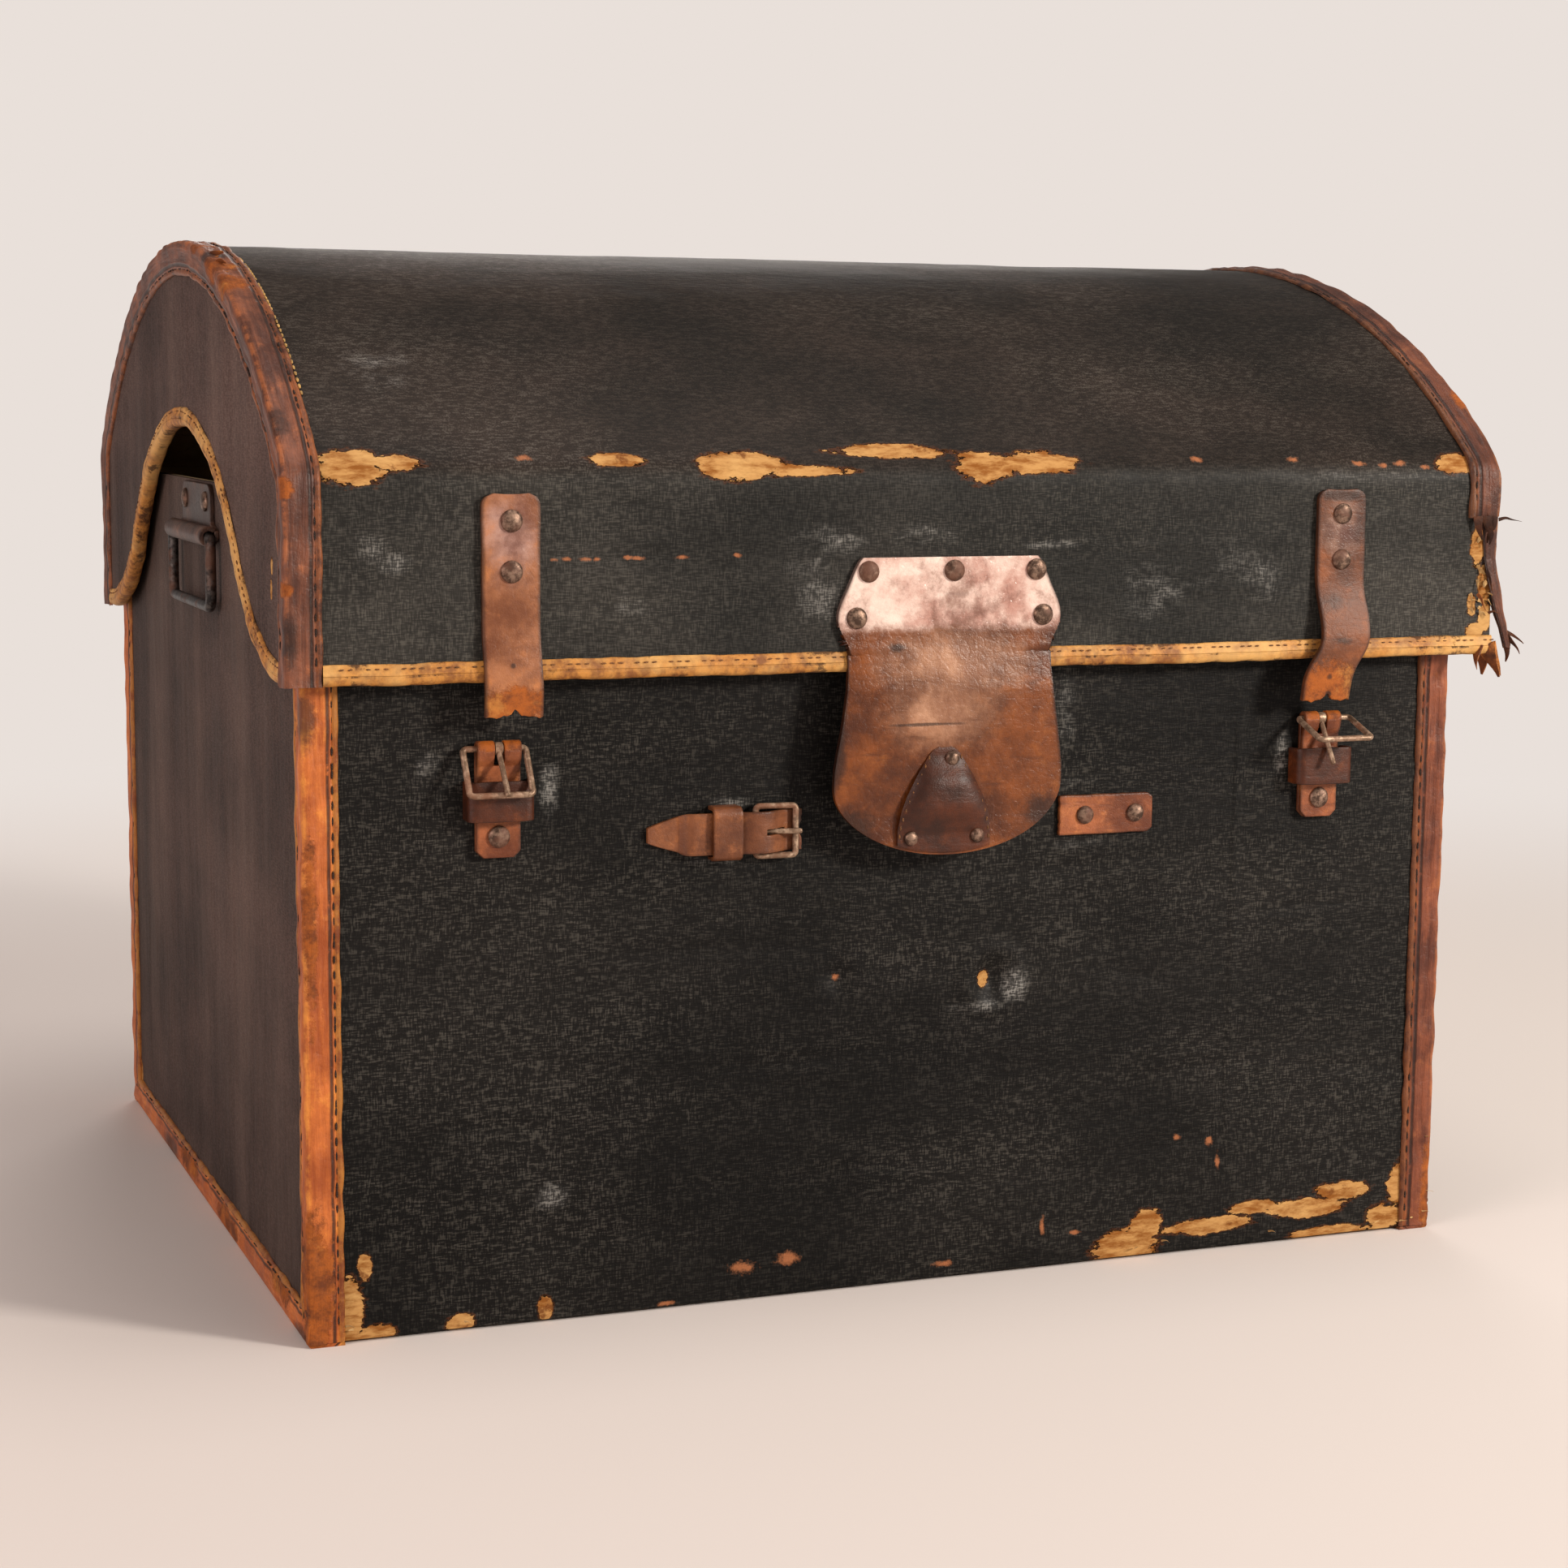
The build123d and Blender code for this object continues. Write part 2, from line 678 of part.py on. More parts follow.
def prong(name, plane, angle, reach):
    """Wire tongue with an eye that turns on the back bar."""
    axis_plane = swung_plane(plane, angle, 0)
    along = Plane(origin=axis_plane.origin, x_dir=axis_plane.x_dir, z_dir=-axis_plane.y_dir)
    with BuildPart() as tongue:
        with BuildSketch(along.offset((wire + prong_eye) / 2)):
            Circle(prong_wire)
        extrude(amount=reach - (wire + prong_eye) / 2)
        fillet(tongue.faces().sort_by_distance(along.offset(reach).origin)[0].edges(), prong_tip)
        with BuildSketch(Plane(origin=along.origin, x_dir=along.z_dir, z_dir=along.x_dir)):
            Circle(prong_eye)
        extrude(amount=prong_eye_width / 2, both=True)
        with BuildSketch(Plane(origin=along.origin, x_dir=along.z_dir, z_dir=along.x_dir)):
            Circle(wire + wire_room)
        extrude(amount=prong_eye_width, both=True, mode=Mode.SUBTRACT)
    write(tongue, name)


def strap_buckle(side_name, x, slide, frame_angle, prong_angle):
    """A whole strap buckle on the base's front."""
    plane = buckle_plane(x, buckle_pivot)
    chape(f"buckle_{side_name}_chape", plane, chape_width, chape_length, [chape_rivet])
    keeper(f"buckle_{side_name}_keeper", plane, keeper_top, keeper_length, keeper_inside, keeper_depth)
    wire_ring(
        f"buckle_{side_name}_frame",
        swung_plane(plane, frame_angle, slide),
        frame_width,
        frame_length,
        wire,
        frame_corner,
    )
    prong(f"buckle_{side_name}_prong", plane, prong_angle, frame_length + prong_overhang)


strap_buckle("left", buckle_left_x, -frame_play, frame_left_angle, prong_left_angle)
strap_buckle("right", buckle_right_x, frame_play, frame_right_angle, prong_right_angle)
rivets(
    "buckle_rivets",
    [front_plane(base_front - chape_thick)],
    buckle_rivet_places,
    chape_thick + base_board,
)

# ------------------------------------------------------------ cross strap

cross_plane = Plane(origin=(cross_pivot_x, base_front, cross_height), x_dir=(0, 0, -1), z_dir=(0, -1, 0))
chape("cross_chape", cross_plane, cross_chape_width, cross_chape_length, [])
keeper(
    "cross_keeper",
    cross_plane,
    cross_keeper_top,
    cross_keeper_length,
    cross_keeper_inside,
    cross_keeper_depth,
)
wire_ring(
    "cross_buckle_frame",
    swung_plane(cross_plane, cross_frame_angle, 0),
    cross_frame_width,
    cross_frame_length,
    wire,
    frame_corner,
)
prong("cross_buckle_prong", cross_plane, cross_prong_angle, cross_frame_length + prong_overhang)

over_loop = 2 * loop_radius + cross_lap
over_chape = chape_thick + cross_lap
cross_run = [
    (cross_torn_end, cross_lap),
    (cross_slit_end, 2 * cross_lap),
    (loop_radius + cross_lap, over_loop),
    (-loop_radius, over_loop),
    (-cross_keeper_top, over_chape + cross_lap),
    (-cross_chape_length - cross_lap, over_chape),
    (-cross_chape_length - cross_leather, cross_lap),
    (-cross_tip, cross_lap),
]
cross_side = Plane(origin=cross_plane.origin, x_dir=cross_plane.y_dir, z_dir=cross_plane.x_dir)

with BuildPart() as cross_end:
    with BuildSketch(cross_side.offset(-cross_width / 2)):
        with BuildLine():
            Polyline(*cross_run, *[(u, v + cross_leather) for u, v in reversed(cross_run)], close=True)
        make_face()
    extrude(amount=cross_width)
    chamfer(cross_end.edges().filter_by(Axis.Y).group_by(Axis.X)[0], cross_tip_cut)
    with BuildSketch(cross_plane):
        with Locations((0, (cross_slit_start + cross_slit_end) / 2)):
            Rectangle(2 * cross_slit_half, cross_slit_end - cross_slit_start)
    extrude(amount=2 * over_loop, mode=Mode.SUBTRACT)
write(cross_end, "cross_strap_end")

with BuildPart() as cross_tab:
    with BuildSketch(front_plane(base_front)):
        with Locations((cross_tab_left, cross_height)):
            Rectangle(cross_tab_length, cross_width, align=(Align.MIN, Align.CENTER))
        with Locations(*cross_tab_places):
            Circle(rivet_shank, mode=Mode.SUBTRACT)
    extrude(amount=cross_leather)
    fillet(cross_tab.edges().filter_by(Axis.Y).group_by(Axis.X)[-1], cross_tab_round)
write(cross_tab, "cross_strap_tab")
rivets(
    "cross_strap_rivets",
    [front_plane(base_front - cross_leather)],
    cross_tab_places,
    cross_leather + base_board,
)

# ------------------------------------------------------------- end handles


def end_handle(side_name, outer_x, side):
    """Leather chape riveted to the end board, rolled round the iron bail's upper bar."""
    roll_bore = handle_wire + wire_room
    roll_radius = roll_bore + handle_leather
    plane = end_plane(outer_x, side)
    with BuildPart(plane) as leather:
        with Locations((0, handle_height, 0)):
            standing = (Align.CENTER, Align.MIN, Align.MIN)
            Box(handle_tab_width, handle_tab_height, handle_leather, align=standing)
        fillet(leather.edges().filter_by(Axis.X).group_by(Axis.Z)[-1], handle_tab_round)
        with Locations((0, handle_height, roll_radius)):
            Cylinder(roll_radius, handle_roll_length, rotation=(0, QUARTER_TURN, 0))
            Cylinder(roll_bore, handle_roll_length, rotation=(0, QUARTER_TURN, 0), mode=Mode.SUBTRACT)
        with Locations(*[(u, v, 0) for u, v in handle_places]):
            Cylinder(rivet_shank, cut_reach, mode=Mode.SUBTRACT)
    write(leather, f"handle_{side_name}_chape")
    bar = plane.from_local_coords(Vector(0, handle_height, roll_radius))
    wire_ring(
        f"handle_{side_name}_bail",
        Plane(origin=bar, x_dir=plane.x_dir, z_dir=plane.z_dir),
        handle_width,
        handle_drop,
        handle_wire,
        handle_corner,
    )


end_handle("left", base_left, -1)
end_handle("right", base_right, 1)
rivets(
    "handle_rivets",
    [end_plane(base_left - handle_leather, -1), end_plane(base_right + handle_leather, 1)],
    handle_places,
    handle_leather + base_board,
)

# ------------------------------------------------------------ rear hinges

hinge_lid_run = [
    (hinge_back, hinge_z + hinge_fold),
    (hinge_back, rim_height + rim_band + bend_gap),
    (lid_rear, rim_height + rim_band + strap_leather),
    (lid_rear, hinge_z + hinge_lid_height),
]
hinge_base_run = [
    (hinge_back, hinge_z - hinge_fold),
    (base_rear, hinge_z - hinge_slant),
    (base_rear, hinge_z - hinge_base_height),
]


def hinge_strap(name, middle, run, places, rounded):
    """One half of a rear hinge strap, rounded at its far end."""
    with BuildPart() as half:
        with BuildSketch(Plane.YZ.offset(middle - hinge_width / 2)):
            strip_profile(run, strap_leather)
        extrude(amount=hinge_width)
        fillet(half.edges().filter_by(Axis.Y).group_by(Axis.Z)[rounded], hinge_round)
        drill(rear_plane(base_rear), places)
    write(half, name)


for side_name, middle in zip(("left", "right"), hinge_middles):
    hinge_strap(f"hinge_{side_name}_lid_half", middle, hinge_lid_run, hinge_lid_places, -1)
    hinge_strap(f"hinge_{side_name}_base_half", middle, hinge_base_run, hinge_base_places, 0)
rivets(
    "hinge_lid_rivets",
    [rear_plane(lid_rear + strap_leather)],
    hinge_lid_places,
    strap_leather + lid_board,
)
rivets(
    "hinge_base_rivets",
    [rear_plane(base_rear + strap_leather)],
    hinge_base_places,
    strap_leather + base_board,
)
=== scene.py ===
"""Dome-top travelling trunk: canvas, leather, straw-coloured binding and iron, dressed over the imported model."""
from math import atan2, cos, exp, hypot, pi, radians, sin, sqrt

import bmesh
import bpy
from mathutils import Matrix, Vector, noise
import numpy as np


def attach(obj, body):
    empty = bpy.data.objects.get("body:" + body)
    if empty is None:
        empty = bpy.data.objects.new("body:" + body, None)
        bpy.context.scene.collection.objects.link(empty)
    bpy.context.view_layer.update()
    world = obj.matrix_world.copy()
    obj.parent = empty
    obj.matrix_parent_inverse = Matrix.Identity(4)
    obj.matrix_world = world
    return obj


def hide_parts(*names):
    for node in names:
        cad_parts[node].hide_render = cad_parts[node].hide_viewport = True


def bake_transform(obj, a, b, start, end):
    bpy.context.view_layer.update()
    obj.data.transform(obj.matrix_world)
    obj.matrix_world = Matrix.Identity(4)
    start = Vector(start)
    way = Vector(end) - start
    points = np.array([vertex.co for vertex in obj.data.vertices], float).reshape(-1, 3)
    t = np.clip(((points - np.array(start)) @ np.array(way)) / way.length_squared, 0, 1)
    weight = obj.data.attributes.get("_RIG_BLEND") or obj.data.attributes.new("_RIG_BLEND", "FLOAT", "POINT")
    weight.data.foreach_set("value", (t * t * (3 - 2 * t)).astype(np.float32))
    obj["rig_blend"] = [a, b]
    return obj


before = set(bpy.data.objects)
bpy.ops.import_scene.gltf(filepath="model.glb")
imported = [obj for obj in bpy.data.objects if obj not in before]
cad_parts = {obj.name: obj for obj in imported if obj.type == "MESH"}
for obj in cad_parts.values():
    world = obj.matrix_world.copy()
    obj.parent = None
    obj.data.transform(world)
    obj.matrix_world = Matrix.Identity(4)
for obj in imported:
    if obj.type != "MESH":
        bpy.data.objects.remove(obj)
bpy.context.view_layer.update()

MM = 0.001

# ---------------------------------------------------------- trunk's sizes
# In millimetres: x to the right, y to the rear, z up from the floor.

BASE_X, BASE_Y, BASE_TOP, BASE_WALL = 300.0, 255.0, 392.0, 5.0
FLOOR_SKIN = 1.5             # leather under the base, on which it stands
LID_LEFT, LID_RIGHT, LID_Y, LID_WALL = -309.5, 318.5, 269.0, 4.0
RIM, BREAK, CROWN = 310.0, 405.0, 513.0      # the lid's rim, the foot of its dome and its top
SOFT_BREAK = 9.0             # how far each side of the break the canvas is rounded
DOME_R = (LID_Y**2 + (CROWN - BREAK) ** 2) / (2 * (CROWN - BREAK))
DOME_Z = CROWN - DOME_R
# The cut-out in each end: a crown arc, and a foot arc that runs out level at the rim.
ARCH_R, ARCH_Z, FOOT_Y = 205.0, 217.0, 255.0
ARCH_RISE = RIM - ARCH_Z
FOOT_R = (FOOT_Y**2 + ARCH_RISE**2 - ARCH_R**2) / (2 * (ARCH_R - ARCH_RISE))
ARCH_LEAN = atan2(FOOT_Y, ARCH_RISE + FOOT_R)
STRAP_LEFT, STRAP_RIGHT = -208.0, 226.0
BUCKLE_LEFT, BUCKLE_RIGHT, BUCKLE_BAR = -211.0, 225.0, 277.0
FLAP_X, FLAP_TOP, FLAP_BEND = 10.5, 363.0, 326.0
CROSS_X, CROSS_Z = -84.0, 232.5              # middle of the cross strap's buckle bar
HANDLE_BAR = 365.0
HINGE_INSET = 106.0
HINGES = (LID_LEFT + HINGE_INSET, LID_RIGHT - HINGE_INSET)
THICK_LEATHER, CROSS_LEATHER, HANDLE_LEATHER, THIN_LEATHER = 3.0, 2.5, 2.4, 2.0


def steps(first, last, count):
    return [first + (last - first) * i / count for i in range(count + 1)]


def lid_line(skirt_steps, dome_steps):
    """The lid's side outline from the front rim over the top: points (y, z) and the way in (y, z)."""
    lean = LID_Y / DOME_R
    top = sqrt(1 - lean * lean)
    line = [((-LID_Y, z), (1.0, 0.0)) for z in steps(RIM, BREAK - SOFT_BREAK, skirt_steps)]
    edge = Vector((-LID_Y, BREAK))
    start, end = edge - Vector((0, SOFT_BREAK)), edge + Vector((top, lean)) * SOFT_BREAK
    for t in steps(0.0, 1.0, 6)[1:-1]:
        spot = start * (1 - t) ** 2 + edge * 2 * t * (1 - t) + end * t * t
        way = Vector((1, 0)).lerp(Vector((lean, -top)), t).normalized()
        line.append(((spot.x, spot.y), (way.x, way.y)))
    spring = LID_Y - top * SOFT_BREAK
    for y in steps(-spring, 0.0, dome_steps):
        turn = y / DOME_R
        line.append(((y, DOME_Z + DOME_R * sqrt(1 - turn * turn)), (-turn, -sqrt(1 - turn * turn))))
    return line + [((-y, z), (-iy, iz)) for (y, z), (iy, iz) in reversed(line[:-1])]


# -------------------------------------------------- how finishes are made


def ink(code):
    """Screen colour, as six hex digits, in the renderer's own linear terms."""
    parts = [int(code[i:i + 2], 16) / 255 for i in (0, 2, 4)]
    return tuple(p / 12.92 if p < 0.04045 else ((p + 0.055) / 1.055) ** 2.4 for p in parts) + (1.0,)


def arithmetic(operation, swapped=False):
    """A method that joins a shade and its operand, if it takes one, in a Math node."""
    def joined(self, *other):
        values = (*other, self) if swapped else (self, *other)
        return self.finish.node("Math", {"operation": operation}, dict(enumerate(values)))

    return joined


class Shade:
    """A shader socket that is added, multiplied and compared like a number."""

    def __init__(self, finish, socket):
        self.finish = finish
        self.socket = socket

    __add__ = __radd__ = arithmetic("ADD")
    __mul__ = __rmul__ = arithmetic("MULTIPLY")
    __sub__, __rsub__ = arithmetic("SUBTRACT"), arithmetic("SUBTRACT", swapped=True)
    __pow__, __rpow__ = arithmetic("POWER"), arithmetic("POWER", swapped=True)
    __abs__ = arithmetic("ABSOLUTE")
    __or__ = __ror__ = arithmetic("MAXIMUM")
    wave = arithmetic("SINE")

    def above(self, low, high):
        """0 below low, 1 above high, smooth between."""
        spread = {"From Min": low, "From Max": high}
        return self.finish.node("MapRange", {"interpolation_type": "SMOOTHSTEP"}, {"Value": self, **spread})


class Finish:
    """One surface finish, put together node by node; shade is its colour so far."""

    SOCKETS = {"colour": "Base Color", "rough": "Roughness", "metal": "Metallic", "coat": "Coat Weight",
               "gloss": "Specular IOR Level", "coat_rough": "Coat Roughness"}

    def __init__(self, name, bends=False):
        self.material = bpy.data.materials.new(name)
        self.material.use_nodes = True
        self.tree = self.material.node_tree
        self.shader = self.tree.nodes["Principled BSDF"]
        self.shade = None
        if bends:
            # Leather that bends takes its pattern along: it reads where each point lay when it was new.
            self.place = self.node("Attribute", {"attribute_name": "laid"}, {}, "Vector")
        else:
            self.place = self.node("TexCoord", out="Object")
        self.x, self.y, self.z = (self.node("SeparateXYZ", {}, {0: self.place}, out) for out in (0, 1, 2))

    def node(self, kind, settings=(), sockets=(), out=0):
        made = self.tree.nodes.new("ShaderNode" + kind)
        for key, value in dict(settings).items():
            setattr(made, key, value)
        for key, value in dict(sockets).items():
            self.feed(made.inputs[key], value)
        return Shade(self, made.outputs[out])

    def feed(self, socket, value):
        """Links a shade to a socket, or sets a plain value on it."""
        if isinstance(value, Shade):
            self.tree.links.new(value.socket, socket)
        else:
            socket.default_value = value

    def noise(self, scale, detail=4.0, roughness=0.6, stretch=(1, 1, 1)):
        spot = self.node("VectorMath", {"operation": "MULTIPLY"}, {0: self.place, 1: stretch})
        return self.node("TexNoise", {}, {"Vector": spot, "Scale": scale, "Detail": detail, "Roughness": roughness})

    def cells(self, scale):
        """Distance from the edges of a net of small cells."""
        sockets = {"Vector": self.place, "Scale": scale}
        return self.node("TexVoronoi", {"feature": "DISTANCE_TO_EDGE"}, sockets, "Distance")

    def carried(self, name):
        """A number that each point of the piece carries, such as how far across the strip it lies."""
        return self.node("Attribute", {"attribute_name": name}, {}, "Fac")

    def mix(self, share, first, second):
        """Share 0 gives the first colour and 1 the second; each is six hex digits or a shade."""
        first, second = (ink(c) if isinstance(c, str) else c for c in (first, second))
        return self.node("Mix", {"data_type": "RGBA"}, {0: share, 6: first, 7: second}, 2)

    def over(self, share, colour):
        """Lays a colour over the finish's shade so far."""
        self.shade = self.mix(share, self.shade, colour)

    def spot(self, centre, reach, fray=None, edge=0.86):
        """1 inside a patch at centre with half-sizes reach, in millimetres, fading past edge; fray makes it ragged."""
        away = self.node("VectorMath", {"operation": "SUBTRACT"}, {0: self.place, 1: [c * MM for c in centre]})
        away = self.node("VectorMath", {"operation": "DIVIDE"}, {0: away, 1: [r * MM for r in reach]})
        gap = self.node("VectorMath", {"operation": "LENGTH"}, {0: away}, "Value")
        if fray:
            gap = gap + fray
        return 1 - gap.above(edge, 1.0)

    def spots(self, places, fray=None, edge=0.86):
        whole = self.spot(*places[0], fray, edge)
        for place in places[1:]:
            whole = whole | self.spot(*place, fray, edge)
        return whole

    def bumps(self, *heights):
        """Relief from pairs of height and depth in millimetres, laid one over another."""
        normal = None
        for height, depth in heights:
            sockets = {"Height": height, "Distance": depth * MM, "Strength": 1.0}
            if normal:
                sockets["Normal"] = normal
            normal = self.node("Bump", {}, sockets)
        self.feed(self.shader.inputs["Normal"], normal)

    def paint(self, **values):
        """Gives the shader its values, under the names in SOCKETS."""
        for key, value in values.items():
            self.feed(self.shader.inputs[self.SOCKETS[key]], value)
        return self.material


UPRIGHT_THREADS, LEVEL_THREADS = (1400, 1400, 250), (230, 230, 1400)


def canvas_finish(name, pale, dark, worn=(), scuffs_and_sheen=(), lined=None, weave=0.26, streaks=0.0, seam=None,
                  faded=(), crown=None):
    """Black oiled canvas: slubby weave with a painted highlight on its threads and painted shade between them, creases,
    grime, worn-through patches, and scuffs that also carry painted sheen and glints.
    """
    f = Finish(name)
    threads = f.noise(1.0, 1.0, 0.5, UPRIGHT_THREADS) * 0.5 + f.noise(1.0, 1.0, 0.5, LEVEL_THREADS) * 0.55
    cloud = f.noise(6.0, 6.0, 0.62)
    streak = f.noise(2.2, 5.0, 0.62, (1, 1, 5))
    grime = (cloud * 0.6 + streak * 0.4).above(0.40, 0.64)
    f.shade = f.mix(grime, dark, pale)
    # The dome above the break is painted darker and browner: partly the canvas's own tone, partly painted shade that
    # takes back the light falling on the dome.
    if crown:
        height, crown_pale, crown_dark = crown
        rise = (f.z + cloud * 0.004).above(height * MM - 0.004, height * MM + 0.006)
        f.over(rise, f.mix(grime, crown_dark, crown_pale))
    patchy = (cloud * 0.5 + f.noise(1.0, 5.0, 0.6, (7, 7, 26)) * 0.5).above(0.42, 0.60)
    # The threads' crests are painted paler, a painted highlight, and the gaps between them darker, painted shade, over
    # the weave's own tone; the pale specks stand for dust and for painted glints.
    f.over(threads.above(0.50, 0.70) * (0.05 + patchy * 0.12), "837e74")
    f.over((1 - threads.above(0.40, 0.60)) * (0.52 - patchy * 0.16), "050505")
    dust_and_glint_specks = f.noise(420.0, 2.0, 0.5).above(0.74, 0.8) * f.noise(22.0, 3.0).above(0.45, 0.62)
    f.over(dust_and_glint_specks * 0.3, "8a8070")
    rough = 0.42 + cloud * 0.2 + threads * 0.10
    height = threads
    relief = [(f.noise(9.0, 7.0, 0.68, (0.35, 1, 1.6)), 2.4)]
    if streaks:
        run_down = f.noise(1.0, 5.0, 0.6, (13, 13, 2.4))
        f.over(run_down.above(0.40, 0.75) * streaks, "a0877a")
        relief.append((f.noise(1.0, 4.0, 0.6, (15, 15, 2.4)), 4.0))
        rough = rough + 0.12
    if seam:
        middle, low, high = seam
        ridge = 1 - abs(f.x - middle * MM + (cloud - 0.5) * 0.006).above(0.0006, 0.0040)
        ridge = ridge * f.z.above(low * MM, low * MM + 0.03) * (1 - f.z.above(high * MM - 0.03, high * MM))
        relief.append((ridge, 0.4))
    if faded:
        f.over(f.spots(faded, f.noise(260.0, 4.0, 0.75) * 2.0 - 1.0, 0.2) * 0.7, "b06f48")
    # Pale colour painted on the thread crests in patches: partly chalky scuffs and dust, partly painted sheen and
    # glints; a clear coat goes over them.
    if scuffs_and_sheen:
        rub = f.noise(60.0, 5.0, 0.74)
        chalk_and_sheen = f.spots(scuffs_and_sheen, rub * 1.6 - 0.8, 0.05) * f.noise(19.0, 5.0, 0.7, (0.6, 1, 1.5)).above(0.42, 0.62)
        f.over(chalk_and_sheen * (0.07 + 0.44 * threads.above(0.46, 0.64)), "b4b2ac")
        oil = threads.above(0.5, 0.7) * 0.10 * cloud.above(0.42, 0.62)
        f.paint(coat=0.03 + chalk_and_sheen * 0.25 + oil, coat_rough=0.34)
    if worn:
        ragged = f.noise(46.0, 8.0, 0.78, (0.7, 1, 1.5)) * 1.7 + f.noise(230.0, 3.0, 0.7, (0.6, 1, 1.3)) * 0.8 - 1.24
        bare = f.spots(worn, ragged, 0.92)
        straw = f.mix(f.noise(150.0, 6.0, 0.7, (0.4, 1, 1.4)).above(0.36, 0.62), "84501f", "b98c54")
        straw = f.mix(f.noise(36.0, 6.0, 0.7, (0.6, 1, 1.4)).above(0.48, 0.66) * 0.6, straw, "cda468")
        straw = f.mix(f.noise(60.0, 5.0, 0.75).above(0.57, 0.68) * 0.8, straw, "643413")
        f.over(f.spots(worn, ragged - 0.16, 0.7) * 0.85, "6d3b19")
        f.over(bare, straw)
        rough = rough * (1 - bare) + bare * 0.86
        height = height * (1 - bare)
        relief.append((1 - bare, 0.7))
    if lined:
        inside = lined(f)
        paper = f.mix(f.noise(14.0, 6.0, 0.66).above(0.42, 0.75), "c9b68f", "a98a5e")
        paper = f.mix(f.noise(90.0, 3.0).above(0.66, 0.74) * 0.6, paper, "7d5f3c")
        paper = f.mix(f.noise(3.0, 5.0, 0.6).above(0.5, 0.7) * 0.35, paper, "8f7448")
        f.over(inside, paper)
        rough = rough * (1 - inside) + inside * 0.85
        height = height * (1 - inside)
    f.bumps(*relief, (height, weave))
    return f.paint(colour=f.shade, rough=rough, gloss=0.10)


def leather_finish(name, deep, body, rubbed, raw=(), pale=(), soot=(), dusty=(), sheen_and_wear_above=None, ridged=0.0,
                   creased=0.0, rough=0.46, dark_edge=0.0, rub=0.75, pale_wear_and_sheen=("b98874", "ecd2c0"), grain=1.0):
    """Old vegetable-tanned leather: grain, creases, dark grease, rubbed orange spots and dry edges, with a painted
    highlight along a ridged binding and pale bloom that also stands for sheen.
    """
    f = Finish(name, bends=True)
    across, along = f.carried("across"), f.carried("along")
    mottle, blotch, wearing = f.noise(38.0, 6.0, 0.66), f.noise(13.0, 4.0, 0.6), f.noise(95.0, 6.0, 0.74)
    tone = mottle * 0.6 + blotch * 0.4
    relief = [(f.noise(60.0, 5.0, 0.6), 0.7 * grain)]
    if ridged:
        run = f.node("CombineXYZ", {}, {0: across * 2.6, 1: along * 13.0, 2: blotch})
        strand = f.node("TexNoise", {}, {"Vector": run, "Scale": 2.2, "Detail": 5.0, "Roughness": 0.6})
        tone = tone * 0.72 + strand * 0.28
        relief.append((strand, ridged))
    f.shade = f.mix(tone.above(0.40, 0.62), deep, body)
    fret = (wearing * 0.5 + tone * 0.5 + abs(across) ** 6.0 * 0.05).above(0.52, 0.66)
    f.over(fret * rub, rubbed)
    polish = rough + mottle * 0.22 - 0.1
    if ridged:
        # A paler line along the binding's rounded ridge: rubbed wear, and a painted highlight.
        bead = (1 - abs(across + 0.03).above(0.02, 0.2)) * wearing.above(0.40, 0.58)
        f.over(bead * 0.5, rubbed)
        lip = abs(across).above(0.84, 0.9) * (tone * 0.4 + wearing * 0.6).above(0.40, 0.56)
        f.over(lip * 0.7, rubbed)
        groove = 1 - abs(abs(across) - 0.79).above(0.012, 0.07)
        f.over(groove * 0.85 * wearing.above(0.30, 0.46), "1d0f09")
        relief.append((1 - groove, 0.5))
    if dusty:
        film = f.spots(dusty, wearing * 0.9 - 0.45, 0.0)
        f.over(film * 0.8, f.mix(tone.above(0.40, 0.60), "91644a", "c49879"))
    if creased:
        fold = f.noise(1.0, 5.0, 0.62, (22, 22, 150))
        f.over((1 - fold.above(0.30, 0.46)) * 0.6, deep)
        relief.append((fold, creased))
    # A pale band above a height: partly dry worn bloom, partly a painted reflection of the light on the leather.
    if sheen_and_wear_above:
        low, high = sheen_and_wear_above
        bare = (f.z + wearing * 0.010 - 0.005).above(low * MM, high * MM)
        bare = bare * (0.35 + 0.65 * (wearing * 0.5 + blotch * 0.5).above(0.36, 0.52))
        f.over(bare, f.mix(tone.above(0.40, 0.60), *pale_wear_and_sheen))
        polish = polish - bare * 0.2
    if pale:
        bare = f.spots(pale, wearing * 1.2 - 0.6, 0.1)
        f.over(bare * 0.7, f.mix(tone.above(0.42, 0.62), *pale_wear_and_sheen))
        polish = polish - bare * 0.18
    if raw:
        torn = f.spots(raw, wearing * 1.2 + f.noise(260.0, 4.0, 0.7) * 0.9 + blotch * 0.7 - 1.4, 0.6)
        flesh = f.mix(f.noise(70.0, 6.0, 0.72).above(0.36, 0.62), "632f0b", "a05414")
        flesh = f.mix(f.noise(34.0, 6.0, 0.72).above(0.54, 0.66) * 0.5, flesh, "cb8a40")
        f.over(torn, flesh)
        polish = polish * (1 - torn) + torn * 0.7
        relief.append((1 - torn, 0.3))
    if dark_edge:
        f.over((abs(across) + wearing * 0.16 - 0.08).above(0.84, 0.99) * dark_edge, "26140d")
    if soot:
        f.over(f.spots(soot, wearing * 1.2 - 0.6, 0.4) * 0.75, "20110b")
    wrinkles, pores = f.cells(210.0).above(0.0, 0.2), f.cells(900.0).above(0.0, 0.3)
    f.bumps(*relief, (wearing, 0.24 * grain), (wrinkles, 0.06 * grain), (pores, 0.03))
    return f.paint(colour=f.shade, rough=polish, gloss=0.34)


